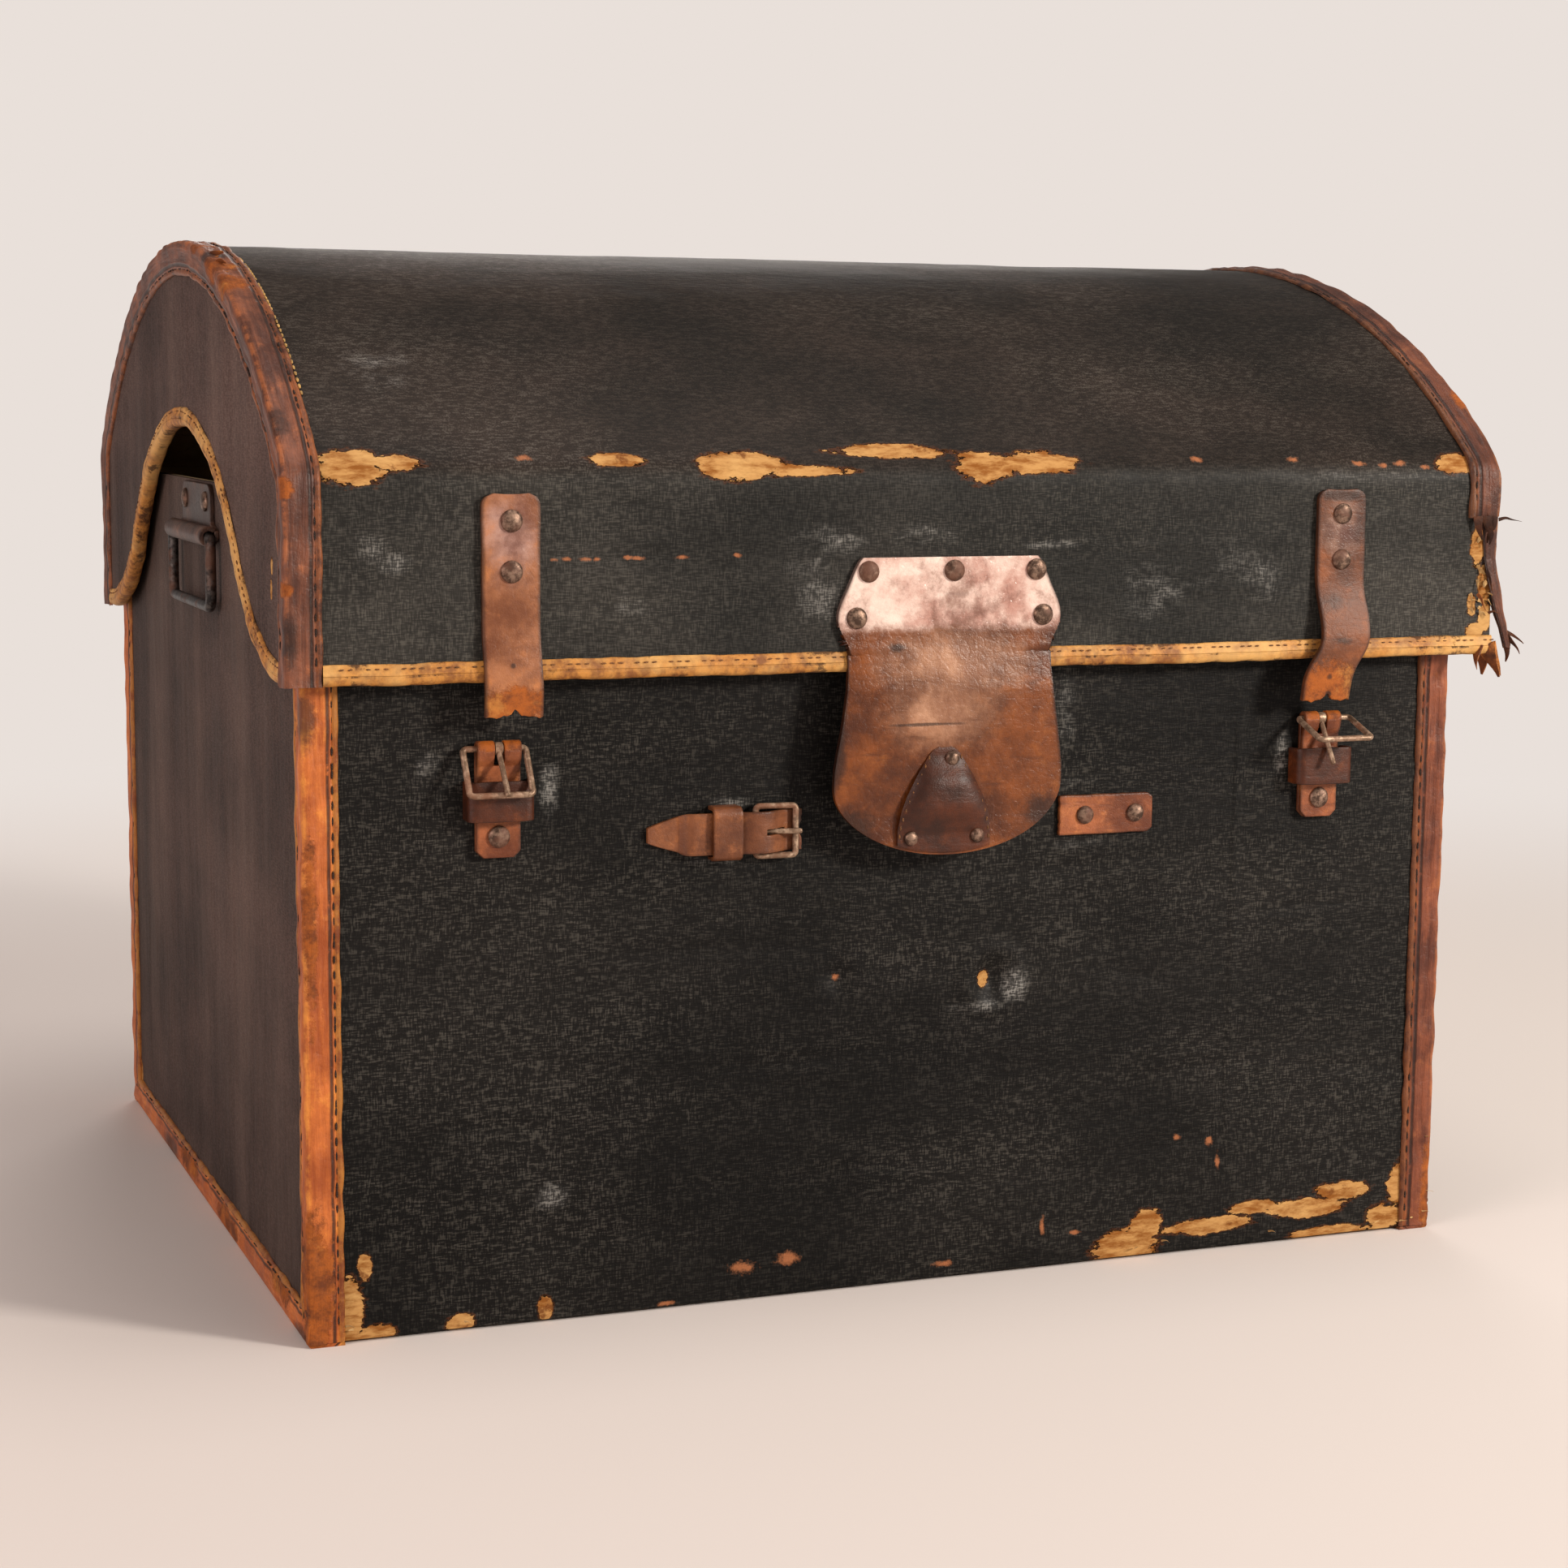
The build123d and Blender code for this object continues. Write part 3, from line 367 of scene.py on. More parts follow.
def straw_finish(name):
    """Pale stitched rim binding, rubbed to straw and dirty along its edges."""
    f = Finish(name)
    across = f.carried("across")
    fibre, patch = f.noise(190.0, 5.0, 0.66), f.noise(24.0, 5.0, 0.66)
    f.shade = f.mix(fibre.above(0.34, 0.66), "7d4a1e", "bf8238")
    f.over(patch.above(0.42, 0.64) * 0.7, "d8aa64")
    middle = 1 - abs(across + 0.12 + (patch - 0.5) * 0.3).above(0.03, 0.14)
    grime = (f.noise(58.0, 6.0, 0.76) * 1.1 + abs(across) ** 3.0 * 0.13 + middle * 0.08).above(0.66, 0.78)
    f.over(grime * 0.85, "3a2110")
    f.bumps((f.noise(90.0, 5.0), 0.7), (1 - middle, 0.4), (fibre, 0.16), (1 - grime, 0.2))
    return f.paint(colour=f.shade, rough=0.6 + grime * 0.2, gloss=0.4)


def iron_finish(name, bright, dark, rust, metal, rusty):
    """Old wire or rivet: dark scale, rust in the low places and rubbed bright on top."""
    f = Finish(name)
    scale, cloud = f.noise(260.0, 6.0, 0.7), f.noise(60.0, 5.0, 0.65)
    scab = cloud.above(rusty - 0.12, rusty + 0.06)
    f.shade = f.mix(scale.above(0.42, 0.62), dark, bright)
    f.over(scab * 0.8, rust)
    f.bumps((cloud, 0.16), (scale, 0.05))
    return f.paint(colour=f.shade, rough=0.36 + scale * 0.22 + scab * 0.2, metal=metal - scab * metal * 0.75)


def thread_finish(name, code):
    """Waxed thread with its twist, dirty in places."""
    f = Finish(name)
    f.bumps((((f.x + f.y + f.z) * 6000.0).wave(), 0.12))
    return f.paint(colour=f.mix(f.noise(120.0).above(0.4, 0.75) * 0.7, code, "1c120b"), rough=0.8)


# ----------------------------------------------------- where the wear lies

WALL_REACH, BREAK_REACH = 9, 20      # how deep a spot reaches into a wall, and into the dome's slope


def patches(y, depth, rows):
    """Spots on a wall at y: each row is x, z and the half-sizes along x and z."""
    return [((x, y, z), (wide, depth, high)) for x, z, wide, high in rows]


BARE_BREAK = patches(-262, BREAK_REACH, [
    (-280, 406, 20, 8), (-262, 408, 16, 4), (-156, 409, 13, 3.4), (-95, 406, 22, 7), (-62, 404, 24, 3),
    (-17, 413, 32, 3.6), (30, 405, 18, 8), (58, 407, 24, 6), (296, 406, 12, 6)])
BARE_BREAK += patches(262, BREAK_REACH, [
    (-150, 407, 26, 5), (92, 406, 30, 5), (240, 407, 16, 4), (-270, 406, 16, 5), (20, 408, 10, 3)])
TORN_END = patches(-LID_Y, WALL_REACH, [
    (309, 364, 4.5, 9), (314, 344, 4, 10), (307, 334, 3, 6), (315, 327, 4, 8), (310, 321, 6, 4)])
BREAK_DOTS = patches(-262, BREAK_REACH, [
    (146, 409, 4, 1.7), (201, 409, 4, 1.7), (238, 407, 5, 1.7), (252, 406, 3, 1.7), (263, 407, 5, 1.7),
    (277, 405, 4, 1.7), (-200, 410, 4, 1.7)])
# Stubs of the thread that held the strap's lining, in a line beside the left strap.
THREAD_LINE = patches(-LID_Y, WALL_REACH, [
    (-187, 364, 2.5, 1.3), (-181, 364.3, 3, 1.3), (-172, 364, 3.4, 1.3), (-166, 364, 2.4, 1.3), (-151, 364.5, 3, 1.3),
    (-147, 364.2, 4, 1.3), (-125, 364.4, 4.4, 1.3), (-98, 365, 2.5, 1.3)])
BARE_FRONT = patches(-BASE_Y, WALL_REACH, [
    (-282, 14, 7, 18), (-270, 3, 10, 5), (-275, 36, 3.4, 7), (-229, 4, 7, 5), (-188, 7, 4, 7), (122, 5, 19, 11),
    (134, 18, 10, 8), (168, 13, 26, 4.4), (194, 21, 13, 3.4), (230, 17, 22, 5.4), (250, 25, 17, 5), (243, 3, 27, 3.6),
    (292, 40, 6.4, 13), (285, 24, 8, 13), (277, 8, 12, 8), (40, 152, 4, 4.5)])
FADED_FRONT = patches(-BASE_Y, WALL_REACH, [
    (-88, 17, 9, 4), (-64, 19, 8, 4), (20, 8, 7, 2), (74, 22, 1.6, 6), (92, 17, 5, 1.4), (150, 62, 3, 2),
    (-128, 3, 6, 1.6), (174, 47, 1.8, 6), (169, 58, 2.4, 3), (-40, 158, 2.6, 2)])
# Pale patches on the lid: rubbed scuffs, scratches and dust, and painted sheen on the dome's left side.
SCUFFS_AND_SHEEN_LID = patches(-LID_Y, WALL_REACH, [
    (-272, 371, 12, 9), (-262, 364, 9, 7), (-59, 350, 16, 26), (-42, 371, 36, 11), (-8, 373, 26, 7), (-150, 346, 9, 10),
    (86, 368, 50, 3)])
SCUFFS_AND_SHEEN_LID += [((222, -262, 455), (10, 50, 3)), ((-255, -214, 452), (22, 26, 20)), ((150, -LID_Y, 348), (58, 9, 26))]
# Pale patches on the base's front: scuffs, and painted glints beside the straps, the tab, the flap and the dent.
SCUFFS_AND_GLINTS_FRONT = patches(-BASE_Y, WALL_REACH, [
    (-102, 219, 22, 4), (-97, 246, 14, 4), (88, 248, 20, 4), (92, 217, 18, 4), (82, 285, 9, 26), (56, 148, 10, 12),
    (30, 138, 22, 4), (-245, 268, 9, 14), (-185, 262, 6, 22), (-184, 62, 12, 8), (205, 258, 5, 16)])
BARE_ELSEWHERE = patches(BASE_Y, 6, [(-286, 10, 14, 16), (288, 12, 13, 20), (60, 4, 40, 6), (-90, 3, 20, 5)])
BARE_ELSEWHERE += [((BASE_X, -242, 10), (6, 14, 16)), ((BASE_X, 238, 8), (6, 20, 12)), ((BASE_X, 40, 3), (6, 30, 5)),
                   ((-BASE_X, 242, 20), (6, 8, 10))]
BARE_LID_END = [((LID_LEFT, -234, 361), (6, 2.5, 4)), ((LID_LEFT, -232, 350), (6, 2, 5))]


def inner_face(f):
    """1 on the inner face of a wall that was drawn off its section."""
    return f.carried("across").above(0.4, 0.6)


def in_base(f):
    """1 inside the base, half a board deep."""
    skin = BASE_WALL / 2
    return 1 - ((abs(f.x) - (BASE_X - skin) * MM) | (abs(f.y) - (BASE_Y - skin) * MM)).above(-0.0002, 0.0002)


def in_lid(f):
    """1 inside the lid, half a board deep."""
    skin = LID_WALL / 2
    reach = ((f.y * f.y) + (f.z - DOME_Z * MM) ** 2.0) ** 0.5 - (DOME_R - skin) * MM
    ends = abs(f.x - (LID_LEFT + LID_RIGHT) / 2 * MM) - (LID_RIGHT - LID_LEFT) / 2 * MM + skin * MM
    sides = abs(f.y) - (LID_Y - skin) * MM
    return 1 - (reach | ends | sides).above(-0.0002, 0.0002)


# ------------------------------------------------------------ the finishes

base_front_canvas = canvas_finish(
    "black_canvas_front", "1c1a18", "0d0c0b", BARE_FRONT, SCUFFS_AND_GLINTS_FRONT, inner_face, seam=(180, 38, 292),
    faded=FADED_FRONT)
# A lighter, pinker copy of the black canvas for the base's rear, ends and floor: partly dust, partly painted pink
# bounce light.
base_canvas_dust_and_bounce = canvas_finish(
    "black_canvas_base_painted_bounce", "55433d", "382c28", BARE_ELSEWHERE, lined=in_base, weave=0.14, streaks=0.16)
lid_canvas = canvas_finish(
    "black_canvas_lid", "3b3935", "20201e", BARE_BREAK + TORN_END, SCUFFS_AND_SHEEN_LID, inner_face,
    faded=THREAD_LINE + BREAK_DOTS, crown=(BREAK, "342b25", "1a1612"))
# A lighter, pinker copy of the lid's canvas for its ends: partly dust, partly painted pink bounce light.
lid_end_canvas_dust_and_bounce = canvas_finish(
    "black_canvas_lid_ends_painted_bounce", "5c4842", "3e302c", BARE_LID_END, lined=in_lid, weave=0.14, streaks=0.20)
lid_edge_brown = leather_finish(
    "lid_edge_leather", "48271b", "844e35", "bf703d",
    raw=[((-309.5, -110, 500), (12, 18, 12)), ((-309.5, -138, 490), (12, 14, 10)), ((-311, -268, 397), (4, 6, 6)),
         ((-311, -268, 352), (4, 6, 4)), ((-309.5, -60, 510), (12, 10, 5)), ((318.5, -240, 440), (8, 30, 10)),
         ((318.5, -268, 380), (9, 10, 10))],
    soot=[((-309.5, -90, 505), (14, 9, 6)), ((-309.5, -255, 430), (9, 18, 14)), ((-309.5, -269, 330), (5, 9, 16))],
    ridged=1.0, dark_edge=0.5, rub=0.55)
base_edge_brown = leather_finish(
    "base_edge_leather", "93461a", "cc7132", "e6983f",
    raw=[((-300, -255, 26), (10, 12, 44)), ((-299, -255, 200), (4, 6, 60)), ((300, -255, 40), (8, 12, 40)),
         ((-300, -60, 6), (6, 40, 8)), ((-300, 60, 8), (6, 30, 8)), ((-300, -190, 10), (6, 30, 7))],
    soot=[((-300, -255, 292), (7, 14, 18)), ((-300, 120, 4), (10, 30, 9)), ((-300, -240, 2), (12, 20, 6))],
    ridged=0.9, dark_edge=0.5, rub=0.7)
# A darker copy of the base's edge leather for the right end: painted shade that takes back the light falling on that
# side.
base_edge_shaded = leather_finish(
    "base_edge_leather_shaded", "4e2415", "86482d", "b56c3a",
    raw=[((301, -256, 20), (6, 14, 34)), ((301, 256, 10), (8, 14, 20))], ridged=0.9, dark_edge=0.6, rub=0.45)
# A darker copy of the lid's edge leather for the right end: painted shade that takes back the light falling on that
# side.
lid_edge_shaded = leather_finish(
    "lid_edge_leather_shaded", "3c1e13", "6f3e29", "a2663c",
    raw=[((318.5, -240, 440), (6, 20, 8)), ((318.5, 120, 495), (8, 24, 8))], ridged=1.0, dark_edge=0.6, rub=0.45)
strap_brown = leather_finish(
    "strap_leather", "6b3c22", "a36a45", "bd7640",
    raw=[((-208, -272, 298), (26, 14, 11))], pale=[((-208, -272, 374), (18, 14, 26))],
    soot=[((-208, -272, 316.5), (1.8, 12, 1.8))],
    creased=0.3, dark_edge=0.75, rough=0.44, pale_wear_and_sheen=("7c5a52", "c3a49b"), grain=0.7)
dark_strap_brown = leather_finish(
    "strap_leather_dark", "391c0d", "6c3c20", "8a4f2a",
    raw=[((219, -272, 294), (26, 20, 17))], pale=[((226, -272, 375), (15, 14, 20))],
    soot=[((219, -272, 300), (2.4, 16, 2.4)), ((219.5, -272, 291), (2.0, 16, 2.0)), ((226, -272, 391), (16, 10, 4)),
          ((226, -272, 318), (9, 12, 3))],
    creased=0.3, dark_edge=0.7, rough=0.48, pale_wear_and_sheen=("6a4a42", "b0917f"), grain=0.7)
# The flap's pale top is partly worn bloom and partly a painted reflection of the light.
flap_brown = leather_finish(
    "lock_flap_leather", "46200a", "7b4015", "a0602b",
    dusty=[((12, -276, 312), (54, 14, 26)), ((6, -276, 290), (40, 14, 28))],
    soot=[((-18, -276, 320), (6, 12, 3)), ((-4, -276, 283), (24, 12, 1.1)), ((-40, -276, 234), (14, 12, 14)),
          ((60, -276, 238), (12, 12, 14)), ((-49, -276, 268), (7, 12, 22))],
    sheen_and_wear_above=(FLAP_BEND, 333), creased=0.35, dark_edge=0.85, rough=0.36, pale_wear_and_sheen=("b5887a", "ecd5c8"), rub=0.4)
keeper_brown = leather_finish(
    "keeper_leather", "2b1105", "552508", "87461a", creased=0.5, dark_edge=0.4, rub=0.5, grain=0.5)
chape_brown = leather_finish(
    "buckle_leather", "5d2d16", "a86139", "c67c44",
    raw=[((BUCKLE_LEFT, -262, 279), (14, 8, 3.6)), ((BUCKLE_RIGHT, -262, 279), (14, 8, 3.2))],
    creased=0.2, dark_edge=0.55, rough=0.40, grain=0.7)
cross_brown = leather_finish(
    "cross_strap_leather", "4a2512", "78472a", "9c5f34", soot=[((-62, -262, 236), (6, 12, 9))],
    creased=0.2, dark_edge=0.35, rough=0.42, grain=0.7)
handle_brown = leather_finish(
    "handle_leather", "33241e", "5c443a", "8f6650", creased=0.2, dark_edge=0.6, rough=0.5)
torn_board = leather_finish("torn_board", "8d6a3c", "c9a46c", "e6c896", rough=0.75, rub=0.5)
torn_leather = leather_finish("torn_leather", "30170b", "80451d", "b9742f", rough=0.7, rub=0.9)
rim_straw = straw_finish("rim_vellum")
rivet_metal = iron_finish("rivet_metal", "8f7564", "4a382e", "5c3420", metal=0.8, rusty=0.6)
buckle_metal = iron_finish("buckle_wire", "b59a82", "7a624e", "70442a", metal=0.55, rusty=0.58)
bail_metal = iron_finish("bail_iron", "5b5552", "1c1817", "5a3826", metal=0.7, rusty=0.6)
dark_thread = thread_finish("dark_thread", "2c190f")
brown_thread = thread_finish("brown_thread", "7d5128")
pale_thread = thread_finish("pale_thread", "d3a862")

# ------------------------------------------------------- modelling helpers

SHARP, BEVELLED = radians(55), radians(50)   # angles from which an edge is shown sharp, and rounded off


def settle(name, shape, finish, body, nodes=(), leather=0.0, rounded=0.0, outward=-1.0):
    """Turns a bmesh into a finished piece: thickness, rounded edges, material, and what it rides on.

    Leather grows from its laid face: outward 1 to the side its faces look to, and -1 to the other.
    """
    mesh = bpy.data.meshes.new(name)
    shape.to_mesh(mesh)
    shape.free()
    mesh.materials.append(finish)
    made = bpy.data.objects.new(name, mesh)
    bpy.context.scene.collection.objects.link(made)
    if leather:
        wall = made.modifiers.new("thickness", "SOLIDIFY")
        wall.thickness, wall.offset = leather * MM, outward
    if rounded:
        edge = made.modifiers.new("rounding", "BEVEL")
        edge.width, edge.segments, edge.limit_method, edge.angle_limit = rounded * MM, 3, "ANGLE", BEVELLED
    if made.modifiers:
        ready = bpy.data.meshes.new_from_object(made.evaluated_get(bpy.context.evaluated_depsgraph_get()))
        made.modifiers.clear()
        made.data = ready
        ready.name = name
    laid = made.data.attributes.new("laid", "FLOAT_VECTOR", "POINT")
    laid.data.foreach_set("vector", [value for corner in made.data.vertices for value in corner.co])
    made.data.polygons.foreach_set("use_smooth", [True] * len(made.data.polygons))
    made.data.set_sharp_from_angle(angle=SHARP)
    if isinstance(body, tuple):
        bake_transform(made, *body)
    else:
        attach(made, body)
    if nodes:
        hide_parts(*nodes)


def stand(origin, across, up):
    """Place of a section: its own x runs across, its own y runs up; origin in millimetres."""
    a, b = Vector(across).normalized(), Vector(up).normalized()
    return Matrix.Translation(Vector(origin) * MM) @ Matrix((a, b, a.cross(b))).transposed().to_4x4()


def ripple(a, b, c):
    """A smooth random number, the same in every run."""
    return noise.noise(Vector((a, b, c)))


def drift(spot):
    """A smooth random vector that depends on the place alone, so it is the same in every run."""
    return Vector([noise.noise(spot + Vector((apart, 0, 0))) for apart in (0.0, 31.7, 67.3)])


def fresh_mesh():
    """An empty bmesh whose points carry how far across and along their strip they lie."""
    bm = bmesh.new()
    return bm, bm.verts.layers.float.new("across"), bm.verts.layers.float.new("along")


def draw_through(section, places, reads=lambda u, v: u, wander=0.0, grain=0.05, into=None):
    """Draws a section, in millimetres, through a row of places, as a strip or a wall is drawn off a former."""
    bm, across, along = into or fresh_mesh()
    ring = []
    for u, v in section:
        corner = bm.verts.new(places[0] @ Vector((u * MM, v * MM, 0)))
        corner[across] = reads(u, v)
        ring.append(corner)
    edges = [bm.edges.new(pair) for pair in zip(ring, ring[1:] + ring[:1])]
    first, run = list(edges), 0.0
    for before, after in zip(places, places[1:]):
        run += (after.translation - before.translation).length
        grown = bmesh.ops.extrude_edge_only(bm, edges=edges)["geom"]
        fresh = {g for g in grown if isinstance(g, bmesh.types.BMVert)}
        edges = [g for g in grown if isinstance(g, bmesh.types.BMEdge) and set(g.verts) <= fresh]
        bmesh.ops.transform(bm, matrix=after @ before.inverted(), verts=list(fresh))
        for corner in fresh:
            corner[along] = run
    bmesh.ops.contextual_create(bm, geom=first)
    bmesh.ops.contextual_create(bm, geom=edges)
    bmesh.ops.recalc_face_normals(bm, faces=bm.faces[:])
    if wander:
        rumple(bm, wander, grain)
    return bm


def rumple(bm, depth, size, keep=None):
    """Hand-made unevenness: every point moves along its normal by a smooth random amount, in millimetres."""
    bm.normal_update()
    for corner in bm.verts:
        if keep is None or keep(corner.co):
            corner.co += corner.normal * (noise.noise(corner.co / size) * depth * MM)


def lay_sheet(columns, rows, lay, length):
    """A flat cut of leather laid into place: lay takes -1..1 across and 0..1 along and gives millimetres."""
    bm, across, along = fresh_mesh()
    bmesh.ops.create_grid(bm, x_segments=columns, y_segments=rows, size=1.0)
    for corner in bm.verts:
        u, w = corner.co.x, (corner.co.y + 1) / 2
        corner[across], corner[along] = u, w * length * MM
        corner.co = Vector(lay(u, w)) * MM
    return bm


def length_of(route):
    return sum((b - a).length for a, b in zip(route, route[1:]))


def follow(route, share):
    """Point at a share of the way along a route of points."""
    left = share * length_of(route)
    for a, b in zip(route, route[1:]):
        span = (b - a).length
        if left <= span or (a, b) == (route[-2], route[-1]):
            return a.lerp(b, min(left / span, 1.0))
        left -= span


def rounded_route(points, radius):
    """The same route with each inner corner rounded off."""
    out = [Vector(points[0])]
    for before, corner, after in zip(points, points[1:], points[2:]):
        c = Vector(corner)
        back, ahead = Vector(before) - c, Vector(after) - c
        cut = min(radius, back.length / 2, ahead.length / 2)
        start, end = c + back.normalized() * cut, c + ahead.normalized() * cut
        out += [start * (1 - t) ** 2 + c * (2 * t * (1 - t)) + end * t * t for t in steps(0.0, 1.0, 5)]
    return out + [Vector(points[-1])]


def table_value(rows, key):
    """Reads a value between the rows of a small table of (key, value), whose keys run down."""
    if key >= rows[0][0]:
        return rows[0][1]
    for (k0, v0), (k1, v1) in zip(rows, rows[1:]):
        if key >= k1:
            t = (key - k1) / (k0 - k1)
            return v1 + (v0 - v1) * t
    return rows[-1][1]


# ----------------------------------------------------------- canvas walls

# Creases across the front: middle, height, half-length, tilt and depth.
CREASES = [(-60, 118, 46, 0.05, 0.7), (-200, 96, 34, -0.08, 0.6), (90, 206, 60, 0.02, 0.5), (232, 180, 40, 0.04, 0.6),
           (160, 98, 32, 0.10, 0.6), (-10, 62, 50, 0.02, 0.5), (250, 92, 34, -0.05, 0.6), (-240, 190, 30, 0.06, 0.5),
           (-120, 176, 60, -0.03, 0.5), (10, 258, 70, 0.01, 0.4), (-170, 40, 40, 0.04, 0.6), (120, 150, 26, -0.2, 0.5)]


def dented(bm):
    """Pushes the front board's dents, its creases and the slack of its canvas into the mesh."""
    for corner in bm.verts:
        x, z = corner.co.x / MM, corner.co.z / MM
        push = 0.55 * ripple(x / 95, 3.1, z / 70) + 0.3 * ripple(x / 32, 8.4, z / 20)
        # A struck hole in a raised ring, a smaller dent, a low swelling to its left, and the foot drawn in.
        ring = sqrt((x - 44) ** 2 + (z - 152) ** 2)
        push += 1.5 * exp(-((ring - 14) ** 2) / 24) - 4.6 * exp(-(ring**2) / 80)
        push -= 2.6 * exp(-((x + 40) ** 2 + (z - 158) ** 2) / 40)
        push += 0.5 * exp(-((z - 155 - 0.06 * x) ** 2) / 300) * exp(-((x + 90) ** 2) / 6000)
        push -= 0.5 * exp(-z / 9)
        for middle, height, reach, tilt, depth in CREASES:
            push -= depth * exp(-((z - height - tilt * (x - middle)) ** 2) / 9 - ((x - middle) / reach) ** 2)
        corner.co.y -= push * MM


def shell_slack(bm):
    """The lid's canvas is a little slack: shallow waves, a groove by the left strap and an uneven break."""
    for corner in bm.verts:
        x, y, z = (c / MM for c in corner.co)
        push = 0.7 * ripple(x / 120, y / 90, z / 80) + 0.35 * ripple(x / 26, y / 26, z / 18)
        push -= 0.7 * exp(-((z - 364 - 2 * sin(x / 40)) ** 2) / 5) * exp(-((x + 205) ** 2) / 7000) * (y < 0)
        push += 0.8 * exp(-((z - BREAK) ** 2) / 30) * ripple(x / 14, 1.3, 7.7)
        way = Vector((0, y, max(z - DOME_Z, 0) if z > BREAK - SOFT_BREAK else 0)).normalized()
        corner.co += way * push * MM


front_section = [(0.0, z) for z in steps(FLOOR_SKIN, BASE_TOP - 1.5, 130)]
front_section += [(0.6, BASE_TOP - 0.4), (1.6, BASE_TOP), (4.4, BASE_TOP)]
front_section += [(BASE_WALL, z) for z in steps(BASE_TOP - 1, FLOOR_SKIN, 8)]
front_wall = draw_through(
    front_section, [stand((x, -BASE_Y, 0), (0, 1, 0), (0, 0, 1)) for x in steps(-BASE_X, BASE_X, 200)],
    lambda out, z: 1.0 if out > BASE_WALL / 2 else -1.0)
dented(front_wall)
settle("base_front_canvas", front_wall, base_front_canvas, "base", ["base_front_board"])

line = lid_line(22, 56)
lid_section = [point for point, inward in line]
lid_section += [(y + LID_WALL * iy, z + LID_WALL * iz) for (y, z), (iy, iz) in reversed(line)]
inner_y, inner_r = LID_Y - LID_WALL / 2, DOME_R - LID_WALL / 2
lid_shell = draw_through(
    lid_section, [stand((x, 0, 0), (0, 1, 0), (0, 0, 1)) for x in steps(LID_LEFT, LID_RIGHT, 110)],
    lambda y, z: 1.0 if abs(y) < inner_y and hypot(y, z - DOME_Z) < inner_r else -1.0)
shell_slack(lid_shell)
settle("lid_canvas_shell", lid_shell, lid_canvas, "lid",
       ["lid_front_board", "lid_rear_board", "lid_dome_board"])

# ---------------------------------------------------- sewn leather edges

EDGE_WIDTH = 15              # how far an edge leather reaches over each face
# Its outer face over one board, from the cut edge past the groove that the thread lies in.
sewn_edge = [(EDGE_WIDTH, 0), (EDGE_WIDTH, -1.0), (14.2, -1.9), (13, -1.9), (12, -1.1), (11, -1.7)]
half_corner = sewn_edge + [(8.5, -2.3), (6.5, -1.9), (4, -2.4), (1.5, -2.7), (0, -2.6), (-1.1, -2.3)]
corner_section = half_corner + [(-1.9, -1.9)] + [(v, u) for u, v in reversed(half_corner)] + [(0, 0)]
foot_section = sewn_edge + [(8, -2.1), (4, -2.4), (1.5, -2.4), (0, -2.2), (-0.9, -1.8), (-1.4, -1.0), (-FLOOR_SKIN, 0),
                            (-FLOOR_SKIN, EDGE_WIDTH), (0, EDGE_WIDTH), (0, 0)]
# Section of the rim's channel: up the board, and out from its outer face.
rim_section = [(8.5, 0.2), (8.3, 0.9), (7.4, 1.5), (6, 1.2), (4.5, 1.9), (2.5, 2.2), (0.6, 2.0), (-0.8, 1.2),
               (-1.4, -0.4), (-1.5, -2), (-1.4, -3.6), (-0.8, -5.2), (0.6, -6.0), (2.5, -6.2), (4.5, -5.9),
               (6, -5.2), (7.4, -5.5), (8.3, -4.9), (8.5, -4.2), (0, -LID_WALL), (0, 0)]
# Where the seams lie on those sections, how far apart the stitches are, and their half-length and half-thickness.
BOTH_SEAMS, ONE_SEAM, RIM_SEAM = [(12, -1.3), (-1.3, 12)], [(12, -1.3)], [(6.1, 1.4)]
EDGE_PITCH, RIM_PITCH = 6.5, 5.5
EDGE_STITCH, RIM_STITCH = (2.3, 0.55), (1.4, 0.45)
OVERRUN = 1.5                # how far a strip runs past the board that it binds


def corner_reads(u, v):
    """How far across the leather a point of its section lies: -1 and 1 at its two cut edges."""
    return (u - v) / EDGE_WIDTH


def rim_reads(u, v):
    """How far up the channel a point of its section lies: 1 at its cut edges."""
    return (u - 3.5) / 5


def bead(bm, size):
    """One stitch of thread, an egg with the given half-sizes."""
    made = bmesh.ops.create_icosphere(bm, subdivisions=1, radius=1.0)["verts"]
    bmesh.ops.scale(bm, verts=made, vec=Vector(size) * MM)
    return made


def strip_stitches(places, seams, pitch, first, stitch):
    """Waxed thread along a strip: one long low stitch at each pitch, on each seam."""
    bm = bmesh.new()
    long, thick = stitch
    run, due = 0.0, first
    for before, after in zip(places, places[1:]):
        run += (after.translation - before.translation).length / MM
        while run >= due:
            due += pitch
            for u, v in seams:
                made = bead(bm, (thick, thick, long))
                lean = Matrix.Rotation(0.25 * noise.noise(after.translation * 90), 3, "Y")
                bmesh.ops.rotate(bm, verts=made, matrix=lean)
                bmesh.ops.transform(bm, verts=made, matrix=after @ Matrix.Translation((u * MM, v * MM, 0)))
    return bm


def sewn_leather(part, where, strip, places, finish, node, seams, first):
    """An edge leather and the dark thread that sews it down; part's first word is the body it rides on."""
    body = part.split("_")[0]
    settle(f"{part}_leather_{where}", strip, finish, body, [node])
    thread = strip_stitches(places, seams, EDGE_PITCH, first, EDGE_STITCH)
    settle(f"{part}_stitches_{where}", thread, dark_thread, body, ())


